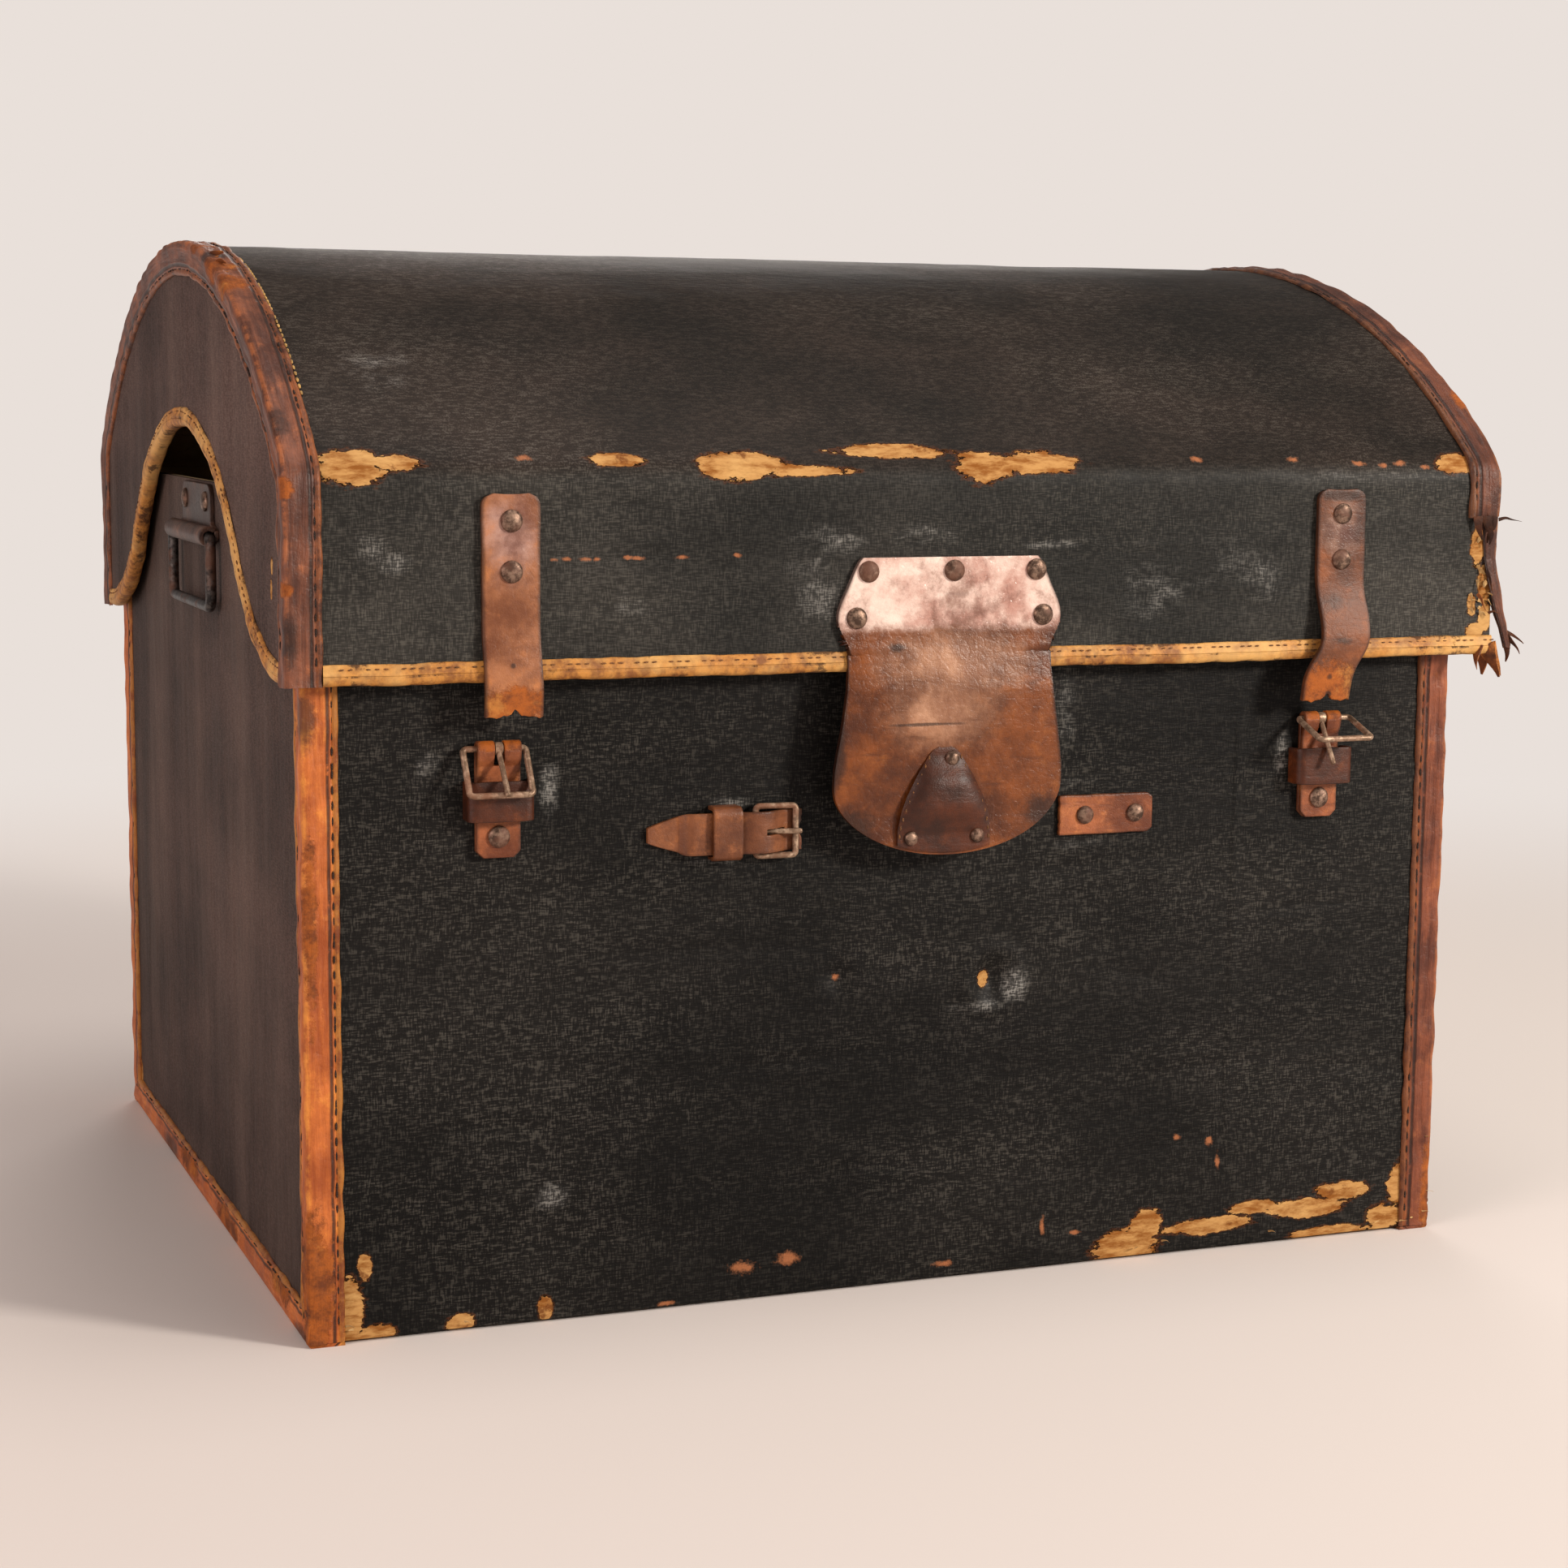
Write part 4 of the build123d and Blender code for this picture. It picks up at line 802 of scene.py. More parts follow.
def sewn_rim(where, places, depth, size, first):
    """A length of rim binding, which strays a little off its line as hand-laid work does, and its stitches."""
    astray = []
    for place in places:
        slip = [noise.noise(place.translation / size + Vector((k * 7.3, 0, 0))) * depth * MM for k in (0, 1)]
        astray.append(place @ Matrix.Translation(slip + [0]))
    strip = draw_through(rim_section, astray, rim_reads, 0.5, 0.009)
    settle(f"rim_band_{where}", strip, rim_straw, "lid", [f"rim_binding_{where}"])
    thread = strip_stitches(places, RIM_SEAM, RIM_PITCH, first, RIM_STITCH)
    settle(f"rim_stitches_{where}", thread, brown_thread, "lid", ())


ENDS = ((-1, "left", LID_LEFT, base_edge_brown, lid_edge_brown), (1, "right", LID_RIGHT, base_edge_shaded, lid_edge_shaded))
FACES = ((-1, "front"), (1, "rear"))
PEEL_TOP = 379.0 * MM        # the right front corner's leather has come away below this
hoop_line = [((-LID_Y, RIM - OVERRUN), (1, 0)), *lid_line(26, 64), ((LID_Y, RIM - OVERRUN), (-1, 0))]

for side, end, lid_x, base_edge, lid_edge in ENDS:
    inward = (-side, 0, 0)
    for face, where in FACES:
        uprights = [stand((side * BASE_X, face * BASE_Y, z), (0, -face, 0), inward)
                    for z in steps(FLOOR_SKIN, BASE_TOP - 0.5, 110)]
        strip = draw_through(corner_section, uprights, corner_reads, 0.9, 0.011)
        sewn_leather("base_corner", f"{where}_{end}", strip, uprights, base_edge,
                     f"base_corner_binding_{where}_{end}", BOTH_SEAMS, 9.0)
    feet = [stand((side * BASE_X, y, FLOOR_SKIN), (0, 0, 1), inward)
            for y in steps(-BASE_Y - OVERRUN, BASE_Y + OVERRUN, 120)]
    strip = draw_through(foot_section, feet, corner_reads)
    rumple(strip, 1.1, 0.010, lambda co: co.z > (FLOOR_SKIN + 0.3) * MM)
    sewn_leather("base_foot", end, strip, feet, base_edge, f"base_bottom_binding_{end}", ONE_SEAM, 20.0)
    hoop = [stand((lid_x, y, z), (0, iy, iz), inward) for (y, z), (iy, iz) in hoop_line]
    if side > 0:
        hoop = [place for place in hoop if place.translation.y > 0 or place.translation.z > PEEL_TOP]
    strip = draw_through(corner_section, hoop, corner_reads, 1.0, 0.012)
    sewn_leather("lid_end", end, strip, hoop, lid_edge, f"lid_end_binding_{end}", BOTH_SEAMS, 9.0)

# Round each bell-shaped cut-out, from its front foot over the crown to the rear foot.
half_arch = [(FOOT_Y - FOOT_R * sin(turn), RIM + FOOT_R * (1 - cos(turn)), turn) for turn in steps(0.0, ARCH_LEAN, 46)]
half_arch += [(ARCH_R * sin(turn), ARCH_Z + ARCH_R * cos(turn), turn) for turn in steps(ARCH_LEAN, 0.0, 40)[1:]]
arch = [(-y, z, -turn) for y, z, turn in half_arch] + list(reversed(half_arch[:-1]))
for side, end, lid_x, *_ in ENDS:
    sewn_rim(f"{end}_arch", [stand((lid_x, y, z), (0, sin(turn), cos(turn)), (side, 0, 0)) for y, z, turn in arch],
             0.6, 0.03, 3.0)
for face, where in FACES:
    sewn_rim(where, [stand((x, face * LID_Y, RIM), (0, 0, 1), (0, face, 0))
                     for x in steps(LID_LEFT + EDGE_WIDTH, LID_RIGHT + 0.5, 150)], 0.5, 0.04, 6.0)

# ------------------------------------------------------------ lid straps


def end_round(run, reach, full):
    """Half-width near a rounded end: full past reach, and drawn in before it."""
    if run >= reach:
        return full
    return full - reach + sqrt(max(reach**2 - (reach - run) ** 2, 0.0))


TEAR = 0.94                  # share of a strap's length from which its end is torn


def strap_lay(middle, route, length):
    """Lays a strap down the lid's front: its route gives (x drift, y, z) from its round top to its torn end."""
    def lay(u, w):
        spot = follow(route, w)
        half = end_round(w * length, 5.0, 13.5) + 0.3 * ripple(w * 5, middle, 0)
        tear = 0.0
        if w > TEAR:
            ragged = 1.5 * ripple(u * 4.1, middle, 2.0) + 3.4 * exp(-(u / 0.16) ** 2) - 0.6 * abs(u)
            tear = (w - TEAR) / (1 - TEAR) * ragged
        cup = 0.42 * (1 - u * u)
        return (middle + spot.x + u * half, spot.y - cup, spot.z + tear)

    return lay


for end, middle, finish, points in (
    ("left", STRAP_LEFT, strap_brown,
     [(0, -269, 394), (0, -269, 330), (0.4, -270.6, 319), (0.8, -271.8, 306), (0.6, -271.0, 293.5)]),
    ("right", STRAP_RIGHT, dark_strap_brown,
     [(0, -269, 394), (0.2, -269, 344), (2.2, -273.0, 328), (2.0, -275.0, 317), (-6.8, -273.0, 302),
      (-7.4, -271.0, 288.5)]),
):
    route = rounded_route(points, 8.0)
    length = length_of(route)
    bend = [(middle * MM, -0.272, z) for z in (0.352, 0.343)]
    settle(f"lid_strap_{end}", lay_sheet(16, 80, strap_lay(middle, route, length), length), finish,
           ("lid", f"strap_{end}_end", *bend), [f"strap_{end}_top", f"strap_{end}_torn_end"],
           THICK_LEATHER, 0.8)

# ------------------------------------------------------------- lock flap

FLAP_HALF, FLAP_SIDE_Z, FLAP_LOW = 60.0, 254.0, 35.0     # the sides end at this height, in a half-oval this deep
flap_widths = [(363, 46), (361.5, 47.5), (358, 49.5), (350, 53), (342, 56.8), (338, 58.2), (334, 58.6), (330, 58.0),
               (327, 56.4), (324, 54.4), (320, 53.2), (310, 53.2), (300, 54), (285, 56.2), (270, 58.8), (262, 59.8),
               (247, 60.0)]
flap_depths = [(363, -269.0), (330, -269.1), (322, -269.8), (314, -271.0), (300, -272.6), (280, -272.8), (262, -271.8),
               (240, -270.9), (219, -271.2)]
PATCH_X, PATCH_TOP, PATCH_FALL, PATCH_HALF, PATCH_HEM = 7.0, 271.5, 47.0, 24.4, 1.6
FLAP_FACE = -273.6           # the y that the keeper patch is sewn on at
patch_widths = [(271.5, 3.0), (270.5, 5.6), (268, 8.0), (263, 10.6), (256, 14.4), (248, 18.8), (240, 22.2), (232, 24.2),
                (222, 24.4)]
patch_lift = [(271.5, 0.1), (266, 0.5), (260.5, 2.2), (256, 4.6), (252, 5.2), (244, 5.2), (240, 4.4), (235, 2.2),
              (230, 0.4), (218, 0.1)]


def flap_foot(x):
    """Height of the flap's round lower edge, x millimetres from its middle."""
    return FLAP_SIDE_Z - FLAP_LOW * sqrt(max(1 - (x / FLAP_HALF) ** 2, 0.0))


def flap_lay(u, w):
    """The flap hangs from its riveted top over the lid's rim, wavy below and curled at its sides."""
    spread = sin(u * pi / 2)
    x = spread * table_value(flap_widths, FLAP_TOP - (FLAP_TOP - FLAP_SIDE_Z) * w)
    z = FLAP_TOP - (FLAP_TOP - flap_foot(FLAP_HALF * spread)) * w
    wave = 0.55 * ripple(x / 40, 4.4, z / 30)
    curl = 1.3 * abs(spread) ** 3 * (z < 318)
    return (FLAP_X + x, table_value(flap_depths, z) + wave * (z < 327) + curl, z)


def patch_lay(u, w):
    """The keeper patch stands off the flap in its middle, and lies flat at its sides and foot."""
    spread = sin(u * pi / 2)
    x = spread * table_value(patch_widths, PATCH_TOP - PATCH_FALL * w)
    low = flap_foot(spread * PATCH_HALF + PATCH_X - FLAP_X) + PATCH_HEM
    z = PATCH_TOP - (PATCH_TOP - low) * w
    return (PATCH_X + x, FLAP_FACE - table_value(patch_lift, z) * (1 - 0.75 * spread**4), z)


settle("lock_flap_leather", lay_sheet(48, 110, flap_lay, 144.0), flap_brown,
       ("lid", "lock_flap", (0.0105, -0.272, 0.332), (0.0105, -0.272, 0.320)),
       ["lock_flap_top", "lock_flap"], THICK_LEATHER, 0.9)
settle("flap_keeper_leather", lay_sheet(24, 40, patch_lay, 50.0), keeper_brown, "lock_flap", ["flap_keeper"],
       THIN_LEATHER, 0.6)
edge_stitches = bmesh.new()
for share in steps(0.1, 0.9, 9):
    for u in (-0.84, 0.84):
        x, y, z = patch_lay(u, share)
        bmesh.ops.translate(edge_stitches, verts=bead(edge_stitches, (0.55, 0.5, 1.3)),
                            vec=Vector((x, y - THIN_LEATHER, z)) * MM)
settle("keeper_edge_stitches", edge_stitches, brown_thread, "lock_flap", ())

# --------------------------------------------------- buckles and handles


def turned(route, centre, radius, first, last, count):
    """Adds an arc, in degrees anticlockwise from the route's own x, to a route in a plane."""
    return route + [(centre[0] + radius * cos(radians(a)), centre[1] + radius * sin(radians(a)))
                    for a in steps(first, last, count)]


def folded(columns, rows, route, half_at, place):
    """A strip folded along a flat route (out, up): place puts (along the bar, out, up) into the trunk."""
    path = [Vector((out, up, 0)) for out, up in route]
    length = length_of(path)

    def lay(u, w):
        spot = follow(path, w)
        return place(u * half_at(w * length, length), spot.x, spot.y)

    return lay_sheet(columns, rows, lay, length), length


def chape(name, length, half, place, node):
    """Doubled leather round a buckle's bar, with the slot that its prong swings in."""
    # Out from the wall and up from the bar: up the back, round the bar, down the front.
    route = turned([(2.0, -length), (2.0, -20), (2.0, -6)], (3.75, 0.0), 1.75, 180, 0, 14)
    route += [(4.6, -4.2), (3.0, -7.5), (2.45, -12), (2.4, -length)]
    sheet, total = folded(18, 150, route, lambda run, total: half - max(3.2 - min(run, total - run), 0.0), place)
    along, across = sheet.verts.layers.float["along"], sheet.verts.layers.float["across"]
    low, high = (length - 7.5) * MM, (total - length + 7.5) * MM

    def in_slot(face):
        run, aside = (sum(v[layer] for v in face.verts) / len(face.verts) for layer in (along, across))
        return low < run < high and abs(aside) < 2.5 / half

    bmesh.ops.delete(sheet, geom=[f for f in sheet.faces if in_slot(f)], context="FACES")
    settle(name, sheet, chape_brown, "base", [node], THIN_LEATHER, 0.5)


def keeper(name, inside, depth, length, place, finish, node):
    """A leather loop over the strap: up from the wall, across, and back to the wall."""
    half = inside / 2
    route = rounded_route([(-half, 0, 0), (-half, depth, 0), (half, depth, 0), (half, 0, 0)], 2.2)

    def lay(u, w):
        spot, bulge = follow(route, w), 0.5 * sin(pi * w)
        return place(spot.x, spot.y + bulge, u * (length / 2 + bulge))

    settle(name, lay_sheet(8, 48, lay, length_of(route)), finish, "base", [node], THIN_LEATHER, 0.5)


def upright_at(x, z):
    """Places work on the base's front, round a level bar."""
    return lambda along_bar, out, up: (x + along_bar, -BASE_Y - out, z + up)


def level_at(x):
    """Places work on the base's front, round the cross strap's upright bar."""
    return lambda along_bar, out, up: (x + up, -BASE_Y - out, CROSS_Z - along_bar)


for end, bar_x in (("left", BUCKLE_LEFT), ("right", BUCKLE_RIGHT)):
    chape(f"buckle_{end}_leather", 51.0, 10.5, upright_at(bar_x, BUCKLE_BAR), f"buckle_{end}_chape")
    keeper(f"buckle_{end}_loop", 28.0, 9.0, 18.0, upright_at(bar_x, BUCKLE_BAR - 24), keeper_brown,
           f"buckle_{end}_keeper")
chape("cross_buckle_leather", 34.0, 8.5, level_at(CROSS_X), "cross_chape")
keeper("cross_loop", 22.0, 8.2, 14.0, level_at(CROSS_X - 16), cross_brown, "cross_keeper")

CROSS_HALF, CROSS_TIP, CROSS_TEAR = 10.0, 21.0, 0.05     # half-width, the pointed tip's length, the torn end's share
TAB_START, TAB_LENGTH, TAB_TIP = 78.0, 52.0, 3.0
cross_route = rounded_route([(24, 0.4, 0), (15, 0.9, 0), (4.2, 8.0, 0), (-3.75, 8.0, 0), (-9, 5.2, 0), (-34.3, 4.8, 0),
                             (-37, 0.6, 0), (-54, 0.4, 0)], 3.0)
cross_length = length_of(cross_route)


def cross_lay(u, w):
    spot = follow(cross_route, w)
    left = (1 - w) * cross_length
    half = CROSS_HALF if left > CROSS_TIP else 3.6 + 6.4 * (left / CROSS_TIP) ** 0.85
    tear = 0.0
    if w < CROSS_TEAR:
        ragged = 1.6 * ripple(u * 4, 1.0, 5.0) - 2.5 * exp(-(u / 0.3) ** 2)
        tear = (CROSS_TEAR - w) / CROSS_TEAR * ragged
    return (CROSS_X + spot.x + tear, -BASE_Y - spot.y, CROSS_Z - u * half)


def tab_lay(u, w):
    run = w * TAB_LENGTH
    into_tip = max(run - (TAB_LENGTH - TAB_TIP), 0)
    half = CROSS_HALF - 2.0 * into_tip / TAB_TIP
    fray = 0.8 * ripple(u * 5, 3.0, 1.0) * (run < 1)
    return (TAB_START + run + fray, -BASE_Y, CROSS_Z + u * half * (1 + 0.02 * ripple(run / 9, u, 0)))


cross = lay_sheet(14, 76, cross_lay, cross_length)
slit = []                    # for the prong
for face in cross.faces:
    x, y, z = face.calc_center_median() / MM
    if CROSS_X + 3 < x < CROSS_X + 13 and abs(z - CROSS_Z) < 2.0:
        slit.append(face)
bmesh.ops.delete(cross, geom=slit, context="FACES")
settle("cross_strap_leather", cross, cross_brown, "base", ["cross_strap_end"], CROSS_LEATHER, 0.5)
settle("cross_tab_leather", lay_sheet(12, 40, tab_lay, TAB_LENGTH), chape_brown, "base", ["cross_strap_tab"],
       CROSS_LEATHER, 0.7)

# Each handle's leather comes down its end wall, widens below its round top and rolls once round the iron.
roll = turned([(2.45, 26.0), (2.45, 12.0), (2.45, 3.0)], (5.25, 0.0), 2.8, 180, 500, 30)


def roll_half(run, total):
    if run < 9:
        return end_round(run, 8.0, 41.0)
    return 41.0 + 12.0 * min(max((run - 20) / 3, 0), 1)


for side, end, *_ in ENDS:
    def on_end(along_bar, out, up, side=side):
        return (side * (BASE_X + out), along_bar, HANDLE_BAR + up)

    sheet, total = folded(30, 70, roll, roll_half, on_end)
    settle(f"handle_{end}_leather", sheet, handle_brown, "base", [f"handle_{end}_chape"],
           HANDLE_LEATHER, 0.5, side)

# ----------------------------------------------------------- rear hinges

drop = rounded_route([(0, LID_Y, 370), (0, LID_Y, 322), (0, 270.4, 318), (0, 270.4, 309), (0, 255.2, 285),
                      (0, BASE_Y, 235)], 6.0)
drop_length = length_of(drop)
for end, middle in zip(("left", "right"), HINGES):
    def hinge_lay(u, w, middle=middle):
        spot = follow(drop, w)
        return (middle + u * end_round(min(w, 1 - w) * drop_length, 8.0, 20.0), spot.y, spot.z)

    bend = [(middle * MM, 0.273, z) for z in (0.316, 0.302)]
    settle(f"rear_hinge_{end}", lay_sheet(14, 70, hinge_lay, drop_length), strap_brown, ("lid", "base", *bend),
           [f"hinge_{end}_lid_half", f"hinge_{end}_base_half"], THICK_LEATHER, 0.8, 1.0)

# ---------------------------------------------------------------- rivets

# A rivet's dome: share of its half-width, and height in millimetres.
DOME = ((1, -0.4), (1, 0.5), (0.93, 1.1), (0.72, 1.75), (0.4, 2.15), (0.0, 2.3))
FRONTWARD, REARWARD = (0, -1, 0), (0, 1, 0)


def rivet_heads(name, body, node, places, girth=5.2):
    """Domed rivet heads, each at a point in millimetres on the leather, facing along a direction."""
    bm = bmesh.new()
    for point, facing in places:
        corners = [bm.verts.new((girth * share * MM, 0, h * MM)) for share, h in DOME]
        outline = corners + [bm.edges.new(pair) for pair in zip(corners, corners[1:])]
        made = len(bm.verts) - len(corners)
        bmesh.ops.spin(bm, geom=outline, cent=(0, 0, 0), axis=(0, 0, 1), dvec=(0, 0, 0), angle=2 * pi, steps=20,
                       use_merge=True, use_duplicate=False)
        tilt = Vector(facing) + 0.07 * drift(Vector(point) / 7.0)
        bmesh.ops.transform(bm, verts=bm.verts[:][made:], matrix=Matrix.Translation(Vector(point) * MM)
                            @ tilt.to_track_quat("Z", "Y").to_matrix().to_4x4())
    bmesh.ops.remove_doubles(bm, verts=bm.verts[:], dist=0.0002 * MM)
    bmesh.ops.recalc_face_normals(bm, faces=bm.faces[:])
    settle(name, bm, rivet_metal, body, [node])


def on_front(y, *spots):
    return [((x, y, z), FRONTWARD) for x, z in spots]


rivet_heads("lid_strap_rivet_heads", "lid", "strap_rivets",
            on_front(-272.4, *((x, z) for x in (STRAP_LEFT, STRAP_RIGHT) for z in (382, 359))))
rivet_heads("lock_flap_rivet_heads", "lid", "lock_flap_rivets",
            on_front(-272.2, (-32.5, 356.5), (12, 356.5), (55.5, 356.5), (-38.5, 334.5), (59.5, 334.5)))
rivet_heads("keeper_rivet_heads", "lock_flap", "flap_keeper_rivets",
            on_front(-276.1, (10.5, 266.3)) + on_front(-275.8, (-10.5, 228), (24.5, 228)), 3.6)
rivet_heads("buckle_rivet_heads", "base", "buckle_rivets", on_front(-259.7, (BUCKLE_LEFT, 236), (BUCKLE_RIGHT, 236)))
rivet_heads("cross_rivet_heads", "base", "cross_strap_rivets", on_front(-257.7, (92, CROSS_Z), (120, CROSS_Z)), 4.6)
rivet_heads("handle_rivet_heads", "base", "handle_rivets",
            [((side * 302.6, y, 382), (side, 0, 0)) for side in (-1, 1) for y in (-29, 29)])
for part, y, heights in (("lid", 272.1, ((11, 331), (-11, 357))), ("base", 258.2, ((11, 273), (-11, 251)))):
    rivet_heads(f"hinge_{part}_rivet_heads", part, f"hinge_{part}_rivets",
                [((middle + aside, y, z), REARWARD) for middle in HINGES for aside, z in heights])

# ----------------------------------------------------- frays and threads

SHRED = [(-0.5, 0.09), (0.0, 0.13), (0.5, 0.09), (0.5, -0.09), (0.0, -0.13), (-0.5, -0.09)]


def shreds(name, body, finish, strands):
    """Torn strips and threads: each has a root, a direction, a length and a width in millimetres, and droops."""
    whole = fresh_mesh()
    for root, way, length, width in strands:
        start, heading = Vector(root), Vector(way).normalized()
        places = []
        for t in steps(0.0, 1.0, 9):
            sway = drift(start / 9.0 + Vector((t * 1.6, 0, 0))) * length * 0.22 * t
            spot = start + heading * length * t + Vector((0, 0, -0.35 * length * t * t)) + sway
            lean = (heading + Vector((0, 0, -0.7 * t))).normalized()
            turn = Matrix.Rotation(1.5 * noise.noise(start / 5.0) + 1.1 * t, 3, lean)
            flat = turn @ lean.cross(Vector((0.3, 1.0, 0.2))).normalized()
            places.append(stand(spot, flat, lean.cross(flat)) @ Matrix.Scale(width * (1 - 0.82 * t**1.5), 4))
        draw_through(SHRED, places, lambda u, v: u * 2, into=whole)
    settle(name, whole[0], finish, body, ())


# The right front corner's edge leather, peeled off its board and hanging outward.
peel_line = rounded_route([(LID_RIGHT, -268, 396), (LID_RIGHT, -268, 366), (320.5, -268.4, 350), (324.5, -268.8, 330),
                           (330.5, -268.4, 311)], 9.0)
peel_section = [(-1.6, -1.6), (1, -2.9), (4, -2.5), (8, -2.1), (11, -1.4), (11, 0), (4, -0.3), (1, -0.4), (-0.2, 1.6),
                (-0.8, 6.4), (-2.3, 6.6), (-2.9, 1.6)]
peeled = []
for t, spot in zip(steps(0.0, 1.0, len(peel_line) - 1), peel_line):
    place = stand(spot + Vector((0, 0.9 * sin(5 * t), 0)), (0, 1, 0), (-1, 0, 0.25 * t))
    peeled.append(place @ Matrix.Scale(1 - 0.5 * t**2.5, 4))
settle("lid_end_leather_right_peeled", draw_through(peel_section, peeled, lambda u, v: (u - v) / 11, 0.9, 0.008),
       lid_edge_shaded, "lid", ())
TORN_CORNER = [((329, -268, 318), (0.7, -0.1, -0.55), 10, 3.4), ((328, -269, 320), (0.9, 0.0, -0.25), 11, 2.2),
               ((330, -268, 314), (0.1, 0.2, -1.0), 7, 4.0), ((322, -268, 378), (1.0, -0.1, 0.25), 13, 1.9),
               ((316, -271.6, 380), (-0.2, -0.1, -1.0), 11, 5.0), ((312, -271.5, 380), (0.2, -0.1, -0.9), 12, 5.0),
               ((307, -271.4, 380), (0.1, -0.1, -0.9), 9, 5.0), ((316, -269.6, 313.5), (0.4, -0.2, -0.9), 14, 9.0),
               ((311, -269.6, 313), (-0.2, -0.3, -0.8), 10, 6.0), ((318.6, -268, 314), (0.5, 0.0, -0.8), 15, 8.0),
               ((317.6, -266, 313), (0.0, 0.2, -1.0), 12, 9.0), ((309, -270.4, 340), (0.3, -0.5, -0.6), 8, 2.0),
               ((314, -270.4, 352), (0.2, -0.5, -0.8), 8, 2.2), ((316, -270.4, 330), (0.4, -0.5, 0.3), 8, 1.8)]
shreds("torn_corner_shreds", "lid", torn_leather, TORN_CORNER)
scraps = []
for row, z in enumerate(steps(318.0, 373.0, 15)):
    for column, x in enumerate((305.0, 310.0, 315.5)):
        wild = drift(Vector((x / 3.1, row * 1.7, column * 2.3)))
        if wild.x > 0.1:
            scraps.append(((x + 3 * wild.y, -269.6, z + 3 * wild.z), (wild.z * 1.5, -0.12, wild.y - 0.3),
                           2.4 + 4.0 * abs(wild.y), 1.8 + 2.4 * abs(wild.z)))
shreds("torn_corner_scraps", "lid", torn_board, scraps)
shreds("apex_shreds", "lid", torn_leather,
       [((-308, y, DOME_Z + sqrt(DOME_R**2 - y * y) + 1.0), (0.3, way, 0.35), reach, 3.4)
        for y, way, reach in ((-96, 0.7, 13), (-102, -0.8, 12), (-112, 0.5, 11), (-86, -0.6, 12), (-124, 0.6, 9))])
shreds("foot_fibres", "base", torn_board,
       [((x, -256.4, z), (way, -0.4, 0.25), reach, 1.1) for x, z, way, reach in
        ((297, 9, 0.8, 6), (293, 6, -0.4, 5), (285, 5, 0.5, 5), (299, 20, 0.6, 6), (272, 6, -0.6, 5),
         (-285, 9, 0.6, 6), (-281, 7, -0.5, 5), (-228, 5, 0.5, 4), (128, 6, -0.5, 5), (142, 8, 0.7, 5),
         (205, 7, 0.3, 4), (297, 50, 0.3, 5))])
# Broken pale sewing thread in the lip of the lid's left binding, from its top down to the break.
lip = [stand((LID_LEFT, y, z), (0, iy, iz), (1, 0, 0))
       for (y, z), (iy, iz) in hoop_line if -234 < y < -88 and z > BREAK + 6]
settle("lip_threads_left", strip_stitches(lip, [(-0.9, 15.3)], 5.0, 2.0, (1.8, 0.8)), pale_thread, "lid", ())

# ------------------------------------------------ finishes on CAD's pieces

wires = [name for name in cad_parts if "buckle" in name and name.endswith(("frame", "prong"))]
for names, finish in (
    (["base_rear_board", "base_left_board", "base_right_board", "base_floor_board"], base_canvas_dust_and_bounce),
    (["lid_left_board", "lid_right_board"], lid_end_canvas_dust_and_bounce),
    (wires, buckle_metal),
    (["handle_left_bail", "handle_right_bail"], bail_metal),
):
    for name in names:
        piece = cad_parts[name]
        for place in piece.material_slots:
            place.material = finish
        piece.data.polygons.foreach_set("use_smooth", [True] * len(piece.data.polygons))

# ------------------------------------------------- studio, light and camera

PAPER = "e9e0da"             # the backdrop that the floor fades into
FADE_FROM, FADE_TO = 0.7, 1.9                # metres from the trunk's middle

ground = bpy.data.meshes.new("studio_floor")
sheet = bmesh.new()
bmesh.ops.create_grid(sheet, x_segments=1, y_segments=1, size=30.0)
sheet.to_mesh(ground)
sheet.free()
g = Finish("studio_floor_fade")
ground.materials.append(g.paint(colour=ink("dcd5d0"), rough=0.85, gloss=0.2))
glow = g.node("Emission", {}, {"Color": ink(PAPER), "Strength": 1.0})
watched = g.node("LightPath", out="Is Camera Ray") | g.node("LightPath", out="Is Glossy Ray")
far_off = (g.x * g.x + g.y * g.y) ** 0.5
faded = g.node("MixShader", {}, {
    0: far_off.above(FADE_FROM, FADE_TO) * watched, 1: Shade(g, g.shader.outputs[0]), 2: glow})
g.feed(g.tree.nodes["Material Output"].inputs["Surface"], faded)
floor = bpy.data.objects.new("studio_floor", ground)
bpy.context.scene.collection.objects.link(floor)

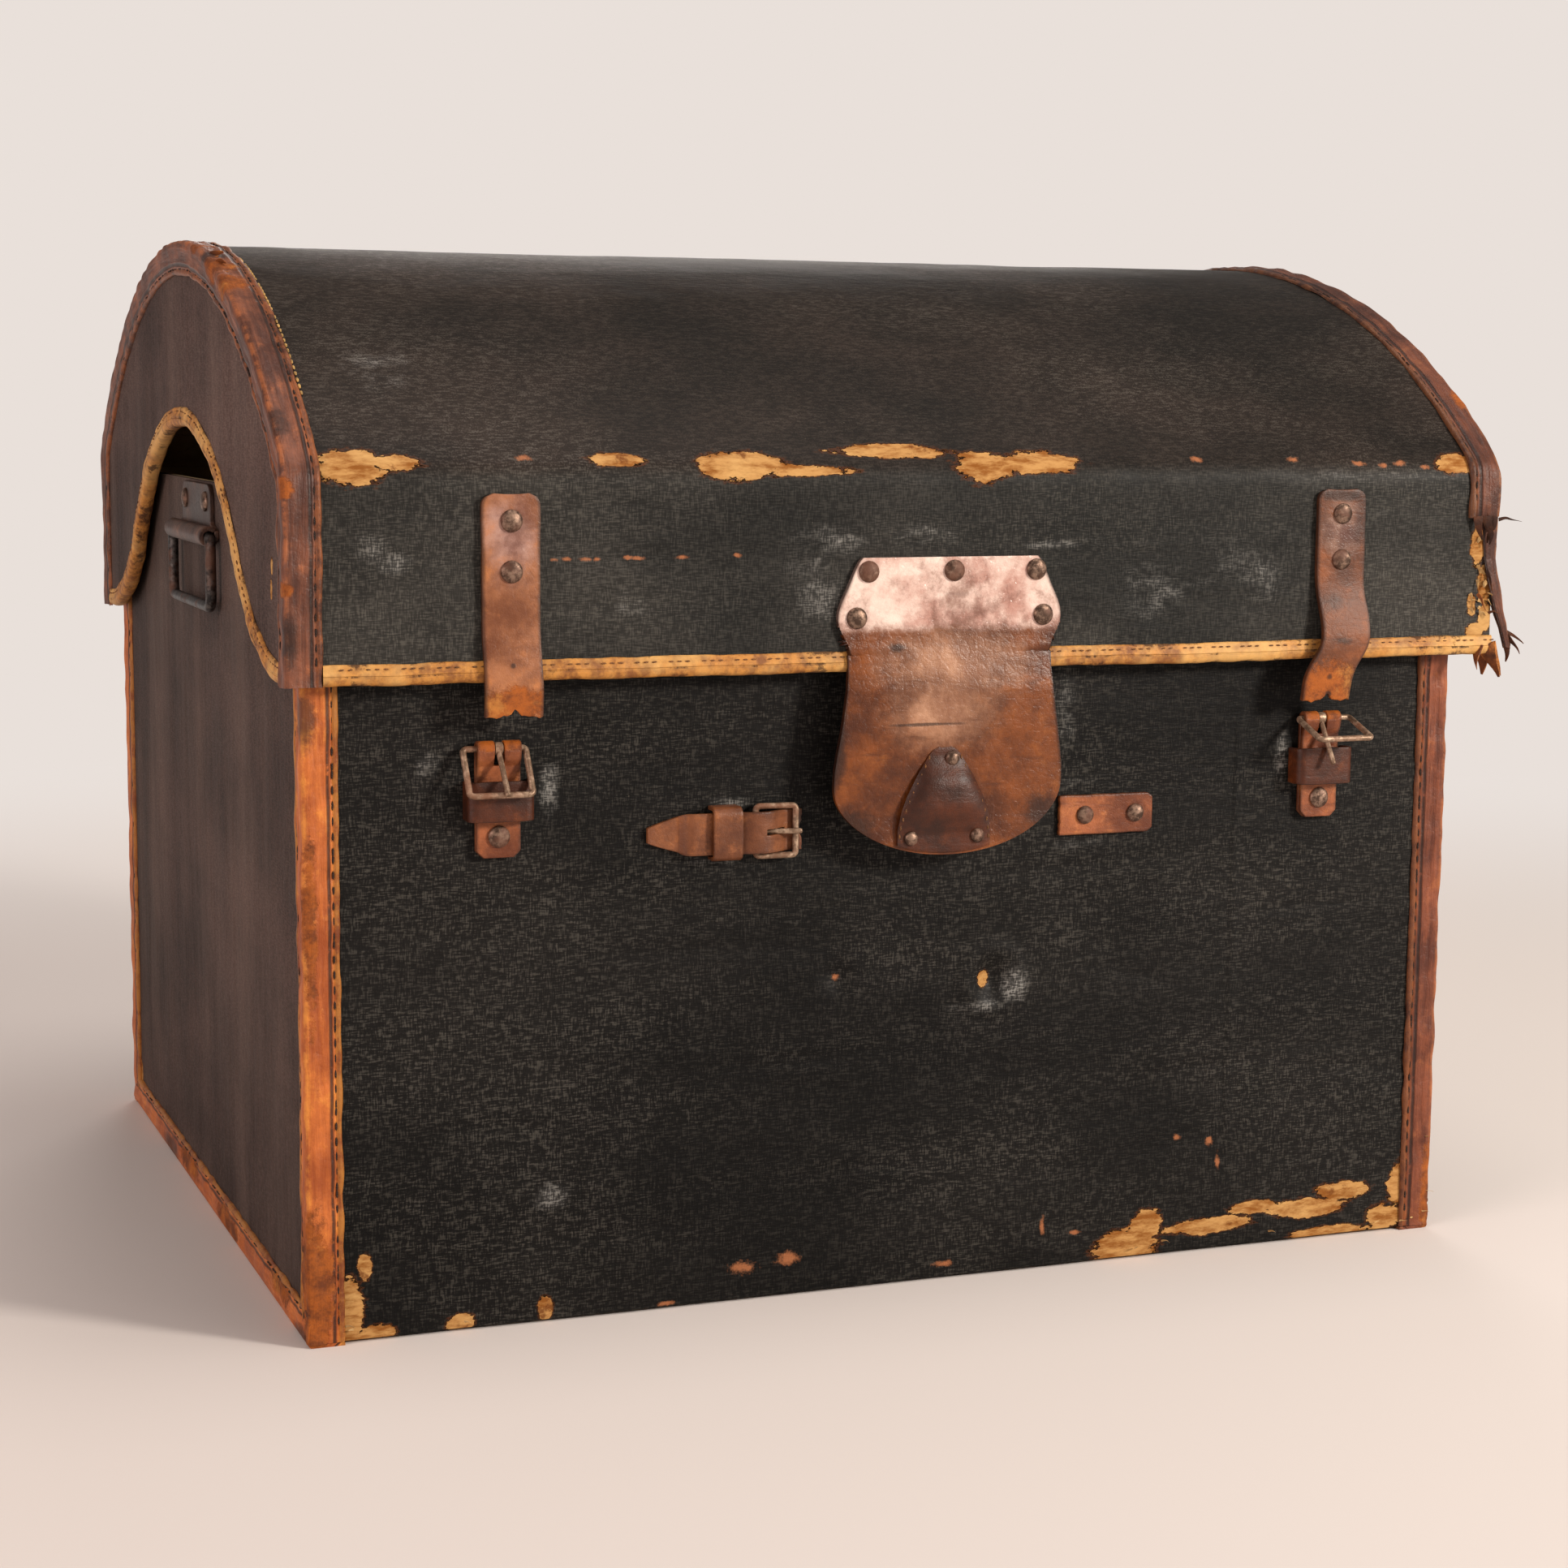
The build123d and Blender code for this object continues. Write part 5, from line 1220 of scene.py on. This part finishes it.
# The air lights the trunk softly, and looks like the backdrop where the camera sees it.
world = bpy.data.worlds.new("studio_air")
bpy.context.scene.world = world
world.use_nodes = True
air = world.node_tree
air.nodes.clear()
soft, plain, seen, either, shown = (air.nodes.new("ShaderNode" + kind) for kind in (
    "Background", "Background", "LightPath", "MixShader", "OutputWorld"))
soft.inputs["Color"].default_value = ink("e6dcd6")
soft.inputs["Strength"].default_value = 0.35
plain.inputs["Color"].default_value = ink(PAPER)
for giver, taker in ((seen.outputs["Is Camera Ray"], either.inputs[0]), (soft.outputs[0], either.inputs[1]),
                     (plain.outputs[0], either.inputs[2]), (either.outputs[0], shown.inputs[0])):
    air.links.new(giver, taker)

for name, place, aim, size, power, code in (
    ("key_lamp", (1.9, -2.2, 1.25), (0.0, -0.1, 0.25), 0.55, 88.0, "fff5ea"),
    ("fill_lamp", (-2.4, -1.2, 1.1), (0.0, 0.0, 0.25), 1.6, 36.0, "ffeae4"),
    ("top_lamp", (0.3, -0.4, 2.6), (0.0, 0.0, 0.4), 1.6, 24.0, "fff6f0"),
    ("rear_lamp", (0.9, 2.8, 0.85), (0.0, 0.25, 0.25), 1.6, 36.0, "fff6f0"),
):
    light = bpy.data.lights.new(name, "AREA")
    light.shape, light.size, light.energy, light.color = "DISK", size, power, ink(code)[:3]
    holder = bpy.data.objects.new(name, light)
    bpy.context.scene.collection.objects.link(holder)
    holder.location = place
    holder.rotation_euler = (Vector(aim) - Vector(place)).to_track_quat("-Z", "Y").to_euler()

EYE = Vector((-0.57602, -1.5692, 0.44278))
EYE_RIGHT = Vector((0.93314715, -0.359404, 0.0080728))
EYE_UP = Vector((0.04022351, 0.12669757, 0.99112552))
EYE_AHEAD = Vector((0.35723728, 0.92454123, -0.13268396))
eye = bpy.data.cameras.new("view")
eye.sensor_width, eye.lens, eye.clip_end = 36.0, 68.0, 60.0
viewer = bpy.data.objects.new("view", eye)
bpy.context.scene.collection.objects.link(viewer)
viewer.matrix_world = Matrix.Translation(EYE) @ Matrix((EYE_RIGHT, EYE_UP, -EYE_AHEAD)).transposed().to_4x4()
bpy.context.scene.camera = viewer
bpy.context.scene.view_settings.view_transform = "Standard"
